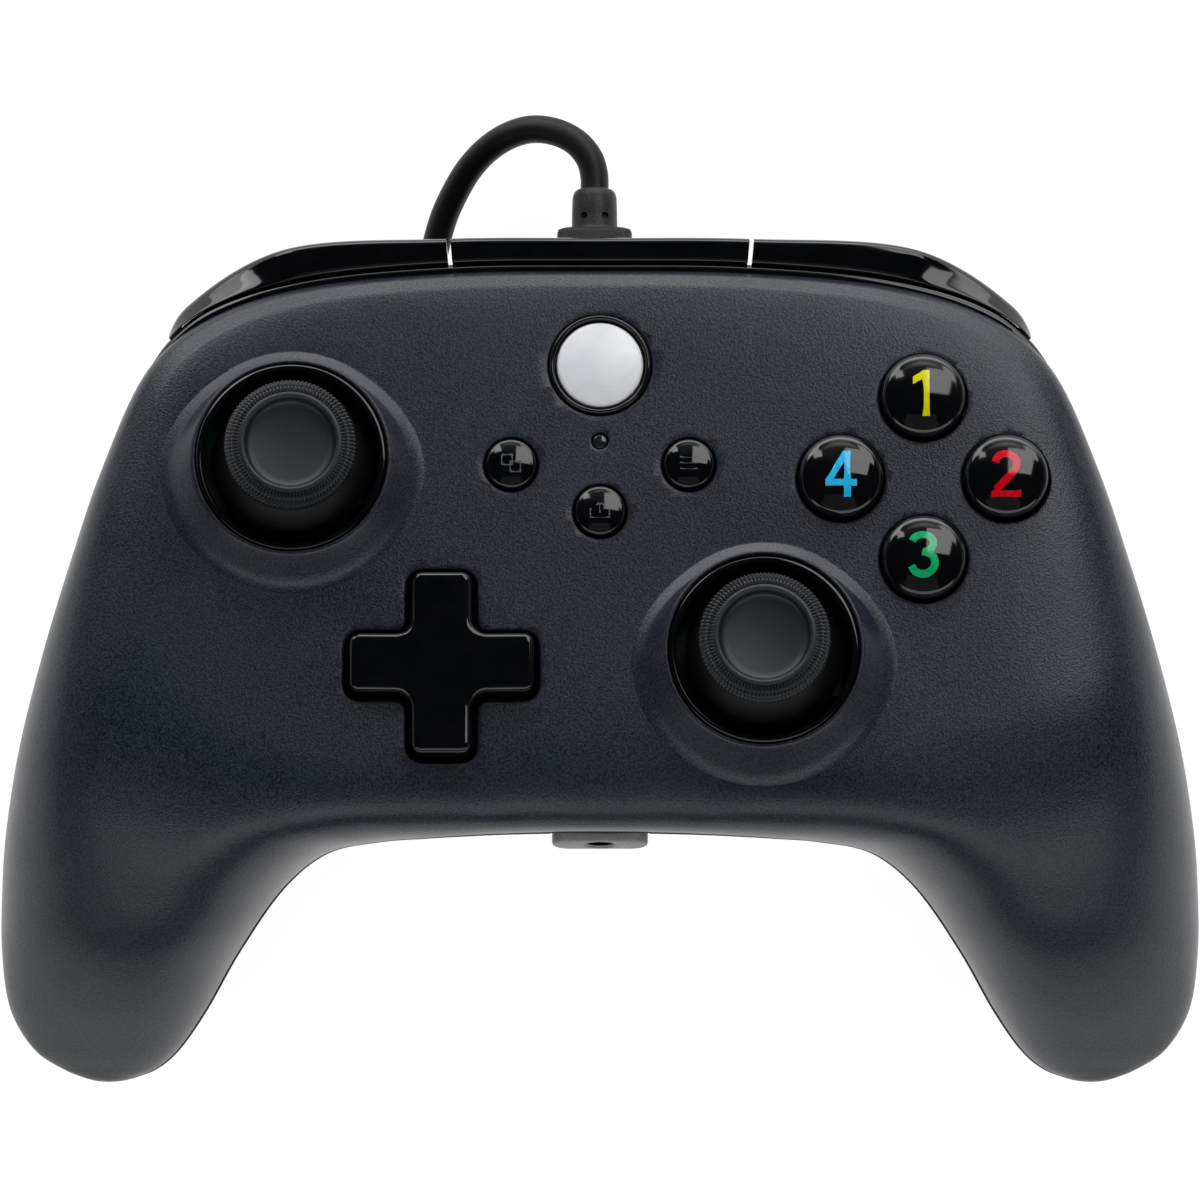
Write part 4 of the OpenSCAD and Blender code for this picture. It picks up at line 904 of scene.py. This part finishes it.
def bumper_profile(s):
    low = BUMPER_LOW
    foot = [[0, 23.75], [-0.12, 23.6], [-0.12, low]]
    twist = BUMPER_TWIST * float(step01((13.05 - min(s, LAST - s)) / 0.5))
    bow = [[p[0], p[1] - twist * p[0] * step01((p[1] - BUMPER_HIGH + 4.4) / 2.4)] for p in BUMPER_BOW]
    return [[0.7, low], [0.88, low + 0.25], [0.96, low + 0.8], [1, low + 2.4]] + bow + foot


PIN_X, PIN_Z = 21.6, 25.8


def pin(name, x, y_from, y_to, r):
    """A bumper's pin, or the hole for one, from the trim into the bumper."""
    return lofted(name, [
        [[x + p[0], y + TABLE_SHIFT, PIN_Z + p[1]] for p in circle(r, 24)]
        for y in (y_from, y_to)], np.asarray)


trim = band("trim_strip", 18.9, 11.1, 156, shell_edge, trim_edge, lap_on_shell, trim_profile)
carve(trim, [pin("pin", x, 41.8, 45, 0.9) for x in (PIN_X, -PIN_X)], "UNION")
fit(trim, "housing", polished_black_abs, "gloss", "top_trim")
bridge = band("bridge_strip", 15.991, 14.009, 48, trim_edge, bumper_edge, bumper_gap, bumper_profile)
fit(round_edges(bridge, 0.3), "housing", polished_black_abs, "gloss", "bumper_bridge")
for name, start, end, x in (("right_bumper", 13.982, 11.5, PIN_X), ("left_bumper", 18.5, 16.018, -PIN_X)):
    bumper = band(name + "_moulding", start, end, 96, trim_edge, bumper_edge, bumper_gap, bumper_profile)
    carve(bumper, [pin("pin_hole", x, 39.8, 45.3, 0.95)])
    fit(round_edges(bumper, 0.3), name, polished_black_abs, "gloss", name)

# Triggers: a swept finger face on an arm that turns on its pin
TRIGGER_FACE = [
    [-5, 12], [-4.7, 9], [-3.6, 5.8], [-1.9, 3.6], [-0.5, 4.2], [-1.1, 6.6], [-2.2, 9.4], [-2.5, 12.2],
    [-1.8, 14.8], [-2, 16], [-3.2, 16.6], [-4.7, 16.6], [-5.3, 15.4],
]
TRIGGER_ARM = [
    [38.9, -17.4], [42, -16.1], [45.4, -16.1], [48.4, -17.2], [48.6, -19.6], [46.2, -21.4], [41.4, -21.4]]
# Radius, steps and ends along X of what turns on the trigger's pin or is cut round it
TRIGGER_ROUNDS = {
    "hub": (2.6, 48, TRIGGER_FROM, TRIGGER_TO), "pin_hole": (1.25, 32, TRIGGER_FROM - 1, TRIGGER_TO + 1),
    "spring_slot": (3.1, 48, 30, 35.4)}
trigger_section = smooth_path(TRIGGER_FACE, 4, True)
for side, name in ((1, "right"), (-1, "left")):
    rings = []
    for s in np.linspace(13.66, 11.98, 49):
        way = bumper_edge(s - 0.05)[0] - bumper_edge(s + 0.05)[0]
        normal = np.array([-way[1], way[0]]) / np.linalg.norm(way)
        depth = mix(1, 0.45, step01(13 - s))
        line = bumper_edge(s)[0] + [0, TABLE_SHIFT] + trigger_section[:, :1] * depth * normal
        rings.append(np.column_stack([line * [side, 1], trigger_section[:, 1]]))
    trigger = lofted(name + "_trigger_moulding", rings, np.asarray)
    arm = face_extrude_x("arm", smooth_path(TRIGGER_ARM, 6, True), side * TRIGGER_FROM, side * TRIGGER_TO)
    hub, pin_hole, spring_slot = (
        face_extrude_x(piece, circle(r, steps) + TRIGGER_AT, side * x_from, side * x_to)
        for piece, (r, steps, x_from, x_to) in TRIGGER_ROUNDS.items())
    carve(trigger, [arm, hub], "UNION")
    carve(trigger, [pin_hole, spring_slot], smooth_below=50)
    fit(trigger, name + "_trigger", polished_black_abs, "gloss", name + "_trigger")

# Stick caps: dished top, sloped rim with three rows of small teeth, ribbed wall, dome below
CAP_R, CAP_TEETH, TOOTH_STEPS, TOOTH_DEPTH = 8.45, 100, 6, 0.26
PIVOT_DEPTH, DOME_R = 5.0, 11.4
SLOPE_FROM, SLOPE_TO = 14, 80
STICK_RING = [(11.65, -3), (12.15, -3), (12.15, 2.75), (12.08, 3.0), (11.9, 3.15), (11.6, 3.2), (11.4, 3.15),
              (11.25, 3.0), (11.2, 2.75), (11.2, 2.0)]


def cap_profile():
    """Radius, height and kind of each ring of the cap: 0 plain, 1 toothed slope, 2 ribbed wall."""
    low, high = math.radians(SLOPE_FROM), math.radians(SLOPE_TO)
    rings = [(r, 15.5 + 0.4 * (r / 5.2) ** 2, 0) for r in np.linspace(0, 5.2, 9)]
    rings += [(5.45, 16.08, 0), (5.62, 16.35, 0), (5.72, 16.66, 0), (5.8, 16.86, 0), (5.93, 16.97, 0),
              (6.1, 17.0, 0), (6.35, 16.98, 0), (6.5, 16.9, 0)]
    for u in np.linspace(0, 1, 28):
        a = math.radians(mix(SLOPE_FROM, SLOPE_TO, u))
        reach = (math.sin(a) - math.sin(low)) / (math.sin(high) - math.sin(low))
        drop = 1.5 * (math.cos(low) - math.cos(a)) / (math.cos(low) - math.cos(high))
        rings.append((mix(6.56, CAP_R, reach), 16.86 - drop, 1 + u / 2))
    rings += [(CAP_R, z, 2) for z in (15.1, 14.8, 14.5)]
    rings += [(8.2, 14.28, 0), (8.0, 14.1, 0), (7.4, 13.97, 0), (5.2, 13.75, 0)]
    return rings + [(1.55, 13.75, 0), (1.55, 14.6, 0), (0, 14.6, 0)]


def dome_profile():
    """Radius and height of the hollow dome under a cap, round the way for the shaft."""
    neck, foot = math.asin(4.2 / DOME_R), math.radians(62)
    inner = DOME_R - 0.8
    rings = [(1.55, 13.85), (4.75, 13.85), (4.6, 13.45), (4.25, 12.9)]
    rings += [(DOME_R * math.sin(a), DOME_R * math.cos(a)) for a in np.linspace(neck + 0.01, foot, 10)]
    rings += [(inner * math.sin(a), inner * math.cos(a)) for a in np.linspace(foot, 0.24, 8)]
    return rings + [(2.5, 8.8), (1.55, 8.8)]


for name, at in STICKS.items():
    rings = cap_profile()
    columns = CAP_TEETH * TOOTH_STEPS
    tooth = 0.5 + 0.5 * np.cos(CAP_TEETH * np.linspace(0, 2 * math.pi, columns, endpoint=False))
    points, faces = revolve([(r, z) for r, z, _ in rings], columns)
    index = 0
    for r, _, kind in rings:
        size = 1 if r < 1e-6 else columns
        if kind:
            on_slope = kind < 1.5
            across = abs(math.sin(3 * math.pi * (kind - 1) * 2)) ** 0.6 if on_slope else 1.0
            drop = TOOTH_DEPTH * (1 - tooth * across)
            slope = 0.45 if on_slope else 0.0
            ring = points[index:index + size]
            ring[:, :2] *= ((r - drop * (1 - slope)) / r)[:, None]
            ring[:, 2] -= drop * slope * 2
        index += size
    cap = mesh_object(name + "_stick_cap_moulding", on_face(points + [*at, -PIVOT_DEPTH]), faces, 55)
    fit(cap, name + "_stick", thermoplastic_rubber, "stick_rubber", name + "_stick_cap")
    # The dome's dead black is partly its own black and partly painted shade, for the deep shade under the cap
    dome = turned(name + "_stick_dome", at, dome_profile(), 96, True, -PIVOT_DEPTH)
    fit(dome, name + "_stick", black_acetal_painted_shade, "gloss")
    ring = turned(name + "_stick_ring_moulding", at, STICK_RING, 144, True)
    fit(ring, "housing", polished_black_abs, "gloss", name + "_stick_ring")

# Buttons: domes with a rounded shoulder, a flange under the shell and a plunger
FLANGE_TOP, FLANGE_T, PLUNGER_END = -4.4, 0.9, -8.55


def dome_height(r, d, rise, crown):
    return rise - crown * (np.asarray(r) / (0.45 * d)) ** 2


def button(name, at, d, rise, crown, shoulder, columns, material, slot):
    r = d / 2
    inner = r - shoulder
    start = dome_height(inner, d, rise, crown)
    profile = [(x, float(dome_height(x, d, rise, crown))) for x in np.linspace(0, inner, 14)]
    slope = math.atan(2 * crown * inner / (0.45 * d) ** 2)
    for a in np.linspace(slope, math.pi / 2, 9)[1:]:
        profile.append((inner + shoulder * (math.sin(a) - math.sin(slope)) / (1 - math.sin(slope)),
                        float(start) - shoulder * (math.cos(slope) - math.cos(a))))
    profile += [(r, FLANGE_TOP), (r + 0.9, FLANGE_TOP), (r + 0.9, FLANGE_TOP - FLANGE_T),
                (r / 2, FLANGE_TOP - FLANGE_T), (r / 2, PLUNGER_END), (0, PLUNGER_END)]
    obj = turned(name + "_button_moulding", at, profile, columns)
    fit(obj, name + "_button", material, slot, name + "_button")


def printed_marks(name, kind, at, outlines, d, rise, crown, proud, material):
    """Thin closed marks that follow a button's dome; outlines are (outer ring, holes)."""
    def top(p):
        return dome_height(np.hypot(p[:, 0], p[:, 1]), d, rise, crown) + proud

    def bottom(p):
        return top(p) - proud - 0.08

    for k, (outer, holes) in enumerate(outlines):
        outer = np.asarray(outer, float)
        low, high = outer.min(0), outer.max(0)
        grid = [(x, y) for x in np.arange(low[0], high[0], 0.35) for y in np.arange(low[1], high[1], 0.35)]
        points, faces = slab(outer, grid, top, bottom, holes)
        mark = mesh_object(f"{name}_{kind}_{k}", on_face(points + [*at, 0]), faces, 30)
        fit(mark, name + "_button", material, "gloss")


def stroke(path, width):
    """The outline of a line of even width along a path, for marks."""
    p = np.asarray(path, float)
    way = np.gradient(p, axis=0)
    normal = np.stack([-way[:, 1], way[:, 0]], -1) / np.linalg.norm(way, axis=1)[:, None]
    return np.vstack([p + normal * width / 2, (p - normal * width / 2)[::-1]])


# Plain numerals of the action buttons, as strokes and outlines
STROKE = 0.95
numeral_one = [[-0.15, -3], [0.8, -3], [0.8, 3], [0.02, 3], [-1.35, 2.1], [-1.35, 1.1], [-0.15, 1.75]]
numeral_two = stroke(smooth_path([
    [-1.42, 1.45], [-1.15, 2.15], [-0.45, 2.55], [0.3, 2.5], [1.05, 2.05], [1.3, 1.3], [1.05, 0.5],
    [0.3, -0.45], [-0.6, -1.35], [-1.35, -2.1]], 5), STROKE)
numeral_two_foot = [[-1.95, -3], [1.85, -3], [1.85, -2.1], [-1.6, -2.1], [-1.95, -2.4]]
numeral_three = stroke(smooth_path([
    [-1.5, 1.75], [-1.1, 2.3], [-0.3, 2.55], [0.55, 2.4], [1.1, 1.85], [1.1, 1.1], [0.65, 0.5],
    [-0.05, 0.25]], 5), STROKE)
numeral_three_low = stroke(smooth_path([
    [-0.25, 0.3], [0.55, 0.12], [1.2, -0.4], [1.38, -1.2], [1.05, -1.95], [0.35, -2.45], [-0.5, -2.5],
    [-1.2, -2.15], [-1.6, -1.5]], 5), STROKE)
numeral_four = [[0.35, -3], [1.25, -3], [1.25, -1.6], [2.0, -1.6], [2.0, -0.75], [1.25, -0.75], [1.25, 3],
                [0.25, 3], [-2.0, -0.8], [-2.0, -1.6], [0.35, -1.6]]
four_hole = [[0.35, -0.75], [0.35, 1.5], [-0.95, -0.75]]
# Width, rise and crown of the domes
ACTION_DOME, SMALL_DOME = (ACTION_D, 3.0, 1.1), (SMALL_D, 1.3, 0.6)
for name, outlines, colour in (
        ("top", [(numeral_one, [])], "yellow"),
        ("right", [(numeral_two, []), (numeral_two_foot, [])], "red"),
        ("bottom", [(numeral_three, []), (numeral_three_low, [])], "green"),
        ("left", [(numeral_four, [four_hole])], "blue")):
    button(name, ACTION[name], *ACTION_DOME, 1.05, 96, polished_black_abs, "gloss")
    printed_marks(name, "numeral", ACTION[name], outlines, *ACTION_DOME, 0.02, ink[colour])

button("home", HOME_AT, 11.0, 0.9, 0.7, 0.5, 96, polished_white_abs, "home")
HOME_BEZEL = [(5.8, -2.6), (6.5, -2.6), (6.5, -0.2), (6.42, 0.1), (6.3, 0.28), (6.15, 0.35), (6.0, 0.32),
              (5.87, 0.2), (5.8, 0.0)]
bezel = turned("home_bezel_moulding", HOME_AT, HOME_BEZEL, 128, True)
fit(bezel, "housing", polished_black_abs, "gloss", "home_bezel")

# Marks of the small buttons: two squares, three bars, an arrow out of a tray
LINE = 0.2
INNER_SIDE = 1.5 - 2 * LINE
squares = [(rounded_rectangle(1.5, 1.5, 0.15, 3) + o,
            [rounded_rectangle(INNER_SIDE, INNER_SIDE, 0.06, 3) + o])
           for o in ([-0.5, 0.4], [0.55, -0.5])]
bars = [(rounded_rectangle(2.3, LINE, 0.08, 2) + [0, y], []) for y in (0.75, 0.0, -0.75)]
arrow = [(rounded_rectangle(LINE, 1.3, 0.05, 2) + [0, 0.2], [])]
arrow += [(stroke(ends, LINE), []) for ends in ([[-0.45, 0.55], [-0.12, 0.9]], [[0.12, 0.9], [0.45, 0.55]])]
tray = [(rounded_rectangle(2.6, LINE, 0.05, 2) + [0, -0.95], [])]
tray += [(rounded_rectangle(LINE, 1.0, 0.05, 2) + [x, -0.3], []) for x in (-1.2, 1.2)]
# The marks' grey is partly the engraving's own tone and partly painted highlight on the groove's edges
for name, marks in (("view", squares), ("menu", bars), ("share", arrow + tray)):
    button(name, SMALL[name], *SMALL_DOME, 0.5, 72, polished_black_abs, "gloss")
    printed_marks(name, "mark", SMALL[name], marks, *SMALL_DOME, 0.01, engraved_grey_and_painted_highlight)

# Lamp: a lens with a softly domed end
LAMP = [(0, -0.2), (0.4, -0.22), (0.75, -0.29), (0.92, -0.38), (1.0, -0.52), (1.0, BOARD_TOP), (0, BOARD_TOP)]
fit(turned("lamp_lens", LAMP_AT, LAMP, 40), "housing", smoked_polycarbonate, "light", "status_light")

# Directional pad: a rounded cross with a softly dished top, its flange and four plungers
DPAD_ROUND, DPAD_DISH, DPAD_SKIRT = 0.8, 0.4, -3.6
levels = [(DPAD_SKIRT, 0.0)]
for a in np.linspace(0, math.pi / 2, 8):
    levels.append((DPAD_RISE - DPAD_ROUND + DPAD_ROUND * math.sin(a), DPAD_ROUND * (1 - math.cos(a))))
rings = [np.column_stack([dpad_outline(o), np.full(len(dpad_outline(0)), z)]) for z, o in levels]
side_points, side_faces = loft(rings, "open")
top_line = dpad_outline(DPAD_ROUND)
grid = [(x, y) for x in np.arange(-11.4, 11.5, 0.6) for y in np.arange(-11.4, 11.5, 0.6)
        if (abs(x) < 2.7 and abs(y) < 10.6) or (abs(y) < 2.7 and abs(x) < 10.6)]
plan, tris = filled(top_line, grid)
first = len(side_points)
rim = first - len(top_line)
weld = {i: rim + i for i in range(len(top_line))}
all_points = np.vstack([side_points, np.column_stack([plan, np.full(len(plan), DPAD_RISE)])])
reach = np.hypot(all_points[:, 0], all_points[:, 1])
near_top = step01((all_points[:, 2] - DPAD_RISE + 2 * DPAD_ROUND) / DPAD_ROUND)
all_points[:, 2] -= DPAD_DISH * np.clip(1 - (reach / (DPAD_SPAN / 2)) ** 2, 0, 1) * near_top
all_faces = side_faces + [[weld.get(v, first + v) for v in f] for f in tris]
all_faces.append(list(range(len(top_line)))[::-1])
used = sorted({v for f in all_faces for v in f})
renumber = {v: k for k, v in enumerate(used)}
dpad = mesh_object(
    "dpad_moulding", on_face(all_points[used] + [*DPAD_AT, 0]), [[renumber[v] for v in f] for f in all_faces])
feet = [face_prism("flange", DPAD_AT, circle(8.6, 64), [(FLANGE_TOP - FLANGE_T, 0), (FLANGE_TOP + 1, 0)])]
for k in range(4):
    at = (DPAD_AT[0] + 8.4 * math.cos(k * math.pi / 2), DPAD_AT[1] + 8.4 * math.sin(k * math.pi / 2))
    feet.append(face_prism("plunger", at, circle(1.7, 24), [(PLUNGER_END, 0), (FLANGE_TOP, 0)]))
carve(dpad, feet, "UNION", 35)
fit(dpad, "dpad_cap", polished_black_abs, "gloss", "dpad_cap")


def along_face(name, at, sections):
    """A piece along the face plate's Y axis about (x, z), through sections of (place along Y, outline)."""
    return lofted(name, [[[at[0] + p[0], y, at[1] + p[1]] for p in outline] for y, outline in sections])


# Headphone socket: a rounded lip round its bore, and a dead black sleeve down the bore that is painted shade,
# standing in for the shade in the hole
jack_at = (0.0, JACK_Z)
jack = along_face("headphone_socket_moulding", jack_at, [
    (JACK_FRONT + depth, rounded_rectangle(JACK_W - 2 * inset, JACK_H - 2 * inset, corner, 8))
    for depth, inset, corner in (
        (0, 0.35, 2.0), (0.1, 0.12, 2.25), (0.35, 0, 2.35), (1.3, 0, 2.35), (1.6, 0, 1.5), (JACK_L, 0, 1.5))])
bore, bore_shade_sleeve = (
    along_face(name, jack_at, [(JACK_FRONT + depth, circle(r, 48)) for depth, r in steps])
    for name, steps in (
        ("socket_bore", ((-1, 2.1), (0, 2.1), (0.3, 1.8), (11.5, 1.8))),
        ("socket_bore_painted_shade", ((11.2, 1.6), (0.32, 1.68), (0.32, 1.8), (11.4, 1.8)))))
carve(jack, [bore])
fit(jack, "housing", socket_abs, "jack", "headphone_jack")
# The sleeve down the bore is painted shade: dead black where the hole is only dark from shade
fit(bore_shade_sleeve, "housing", black_acetal_painted_shade, "gloss")

# Strain relief: a flange against the shell, and a sleeve with two small holes
relief_at = (RELIEF_X, RELIEF_Z)
relief = along_face("strain_relief_moulding", relief_at, [
    (y, rounded_rectangle(9.6 - 2 * inset, 7.6 - 2 * inset, 1.4, 8))
    for y, inset in ((46.0, 0.25), (46.25, 0.0), (51.4, 0.0), (51.85, 0.14), (52.1, 0.6))])
sleeve = along_face("sleeve", relief_at, [
    (y, circle(r, 56)) for y, r in (
        (51.6, 3.4), (52.2, 3.05), (52.6, 2.92), (54.5, 2.9), (56.6, 2.84), (57.2, 2.66),
        (57.5, 2.4), (57.7, 2.0))])
neck = face_block("neck", (RELIEF_X - 3.4, 43.2, RELIEF_Z - 2.4), (RELIEF_X + 3.4, 46.1, RELIEF_Z + 2.4))
lock = face_block("lock", (RELIEF_X - 4.8, 41.6, RELIEF_Z + 0.4), (RELIEF_X + 4.8, 43.3, RELIEF_Z + 3.8))
carve(relief, [sleeve, neck, lock], "UNION", 40)
dots = [face_prism("vent", (RELIEF_X + x, 53.8), circle(0.42, 24), [(RELIEF_Z + 1.9, 0), (RELIEF_Z + 4, 0)])
        for x in (-1.36, 1.36)]
carve(relief, dots)
fit(relief, "housing", overmoulded_vinyl, "cable", "cable_strain_relief")


# Inner solids keep their shape and get their own finish
def both(*names):
    """Names of a kind of solid that is there for the left and the right."""
    return [side + "_" + name for name in names for side in ("left", "right")]


for material, names in (
        (plated_steel, both("trigger_pin", "trigger_spring", "stick_shaft", "rumble_motor", "rumble_weight")
         + ["board_screws", "shell_screws"]),
        (moulded_nylon, both("stick_gimbal", "stick_rocker") + ["dpad_pivot"]),
        (black_nylon, both("stick_module", "stick_pivot") + ["home_switch"]),
        (cast_silicone, ["action_pad", "dpad_pad", "menu_pad"]),
        (solder_mask_board, ["main_board"])):
    for name in names:
        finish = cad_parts[name].data.materials
        finish.clear()
        finish.append(material)

# Floor: white for the eye and in reflections, and it still takes the pad's shadow
floor_material, tree = new_material("white_paper_sweep")
rays = put(tree, "ShaderNodeLightPath")
seen = put(tree, "ShaderNodeMath", {
    0: rays.outputs["Is Camera Ray"], 1: rays.outputs["Is Glossy Ray"]}, operation="MAXIMUM")
seen = put(tree, "ShaderNodeMath", {
    0: seen.outputs[0], 1: rays.outputs["Is Transmission Ray"]}, operation="MAXIMUM")
glow_level = put(tree, "ShaderNodeMath", {0: seen.outputs[0], 1: 0.93}, operation="MULTIPLY")
glow = put(tree, "ShaderNodeEmission", {"Color": (1, 1, 1, 1), "Strength": glow_level.outputs[0]})
paper = put(tree, "ShaderNodeBsdfDiffuse", {"Color": linear("#808080")})
both = put(tree, "ShaderNodeAddShader", {0: glow.outputs[0], 1: paper.outputs[0]})
put(tree, "ShaderNodeOutputMaterial", {0: both.outputs[0]})
FLOOR_HALF = 3000.0
floor = mesh_object("floor", [[x * FLOOR_HALF, y * FLOOR_HALF, 0] for x, y in SQUARE], [[0, 1, 2, 3]])
floor.data.materials.append(floor_material)

# Studio light: a pale horizon under a dark ceiling, and softboxes that show in the polished pieces
world = bpy.data.worlds.new("studio")
scene.world = world
world.use_nodes = True
tree = world.node_tree
tree.nodes.clear()
way = put(tree, "ShaderNodeTexCoord").outputs["Generated"]
heading = put(tree, "ShaderNodeSeparateXYZ", {0: way})
ceiling = put(tree, "ShaderNodeMapRange", {
    "Value": heading.outputs["Z"], "From Min": 0.32, "From Max": 0.48, "To Min": 1.0, "To Max": 0.06})
scrim = put(tree, "ShaderNodeMapRange", {
    "Value": heading.outputs["Y"], "From Min": 0.62, "From Max": 0.95, "To Min": 0.24, "To Max": 4.4})
ceiling = put(tree, "ShaderNodeMath", {0: ceiling.outputs[0], 1: scrim.outputs[0]}, operation="MULTIPLY")
rays = put(tree, "ShaderNodeLightPath")
level = put(tree, "ShaderNodeMath", {
    0: ceiling.outputs[0], 1: rays.outputs["Is Camera Ray"]}, operation="MAXIMUM")
sky = put(tree, "ShaderNodeBackground", {"Color": (1, 1, 1, 1), "Strength": level.outputs[0]})
put(tree, "ShaderNodeOutputWorld", {0: sky.outputs[0]})


def softbox(name, at, pitch, size, power):
    """A soft panel, level along X and pitched about it: 0 faces down, negative pitches face the near side."""
    light = bpy.data.lights.new(name, "AREA")
    light.shape = "RECTANGLE"
    light.size, light.size_y = size
    light.energy = power
    obj = bpy.data.objects.new(name, light)
    obj.location = at
    obj.rotation_euler = (math.radians(pitch), 0, 0)
    obj.visible_camera = False
    scene.collection.objects.link(obj)


softbox("key_panel", (0.27, 0.42, 0.47), -43, (0.37, 0.37), 1.42)
softbox("far_left_panel", (-0.32, 0.5, 0.31), -58, (0.26, 0.18), 0.62)
softbox("near_panel", (0.05, -0.5, 0.64), 37, (2.0, 0.36), 3.6)
softbox("overhead_scrim", (0.0, -0.3, 0.95), 16, (0.7, 0.5), 0.15)

scene.view_settings.view_transform = "Standard"
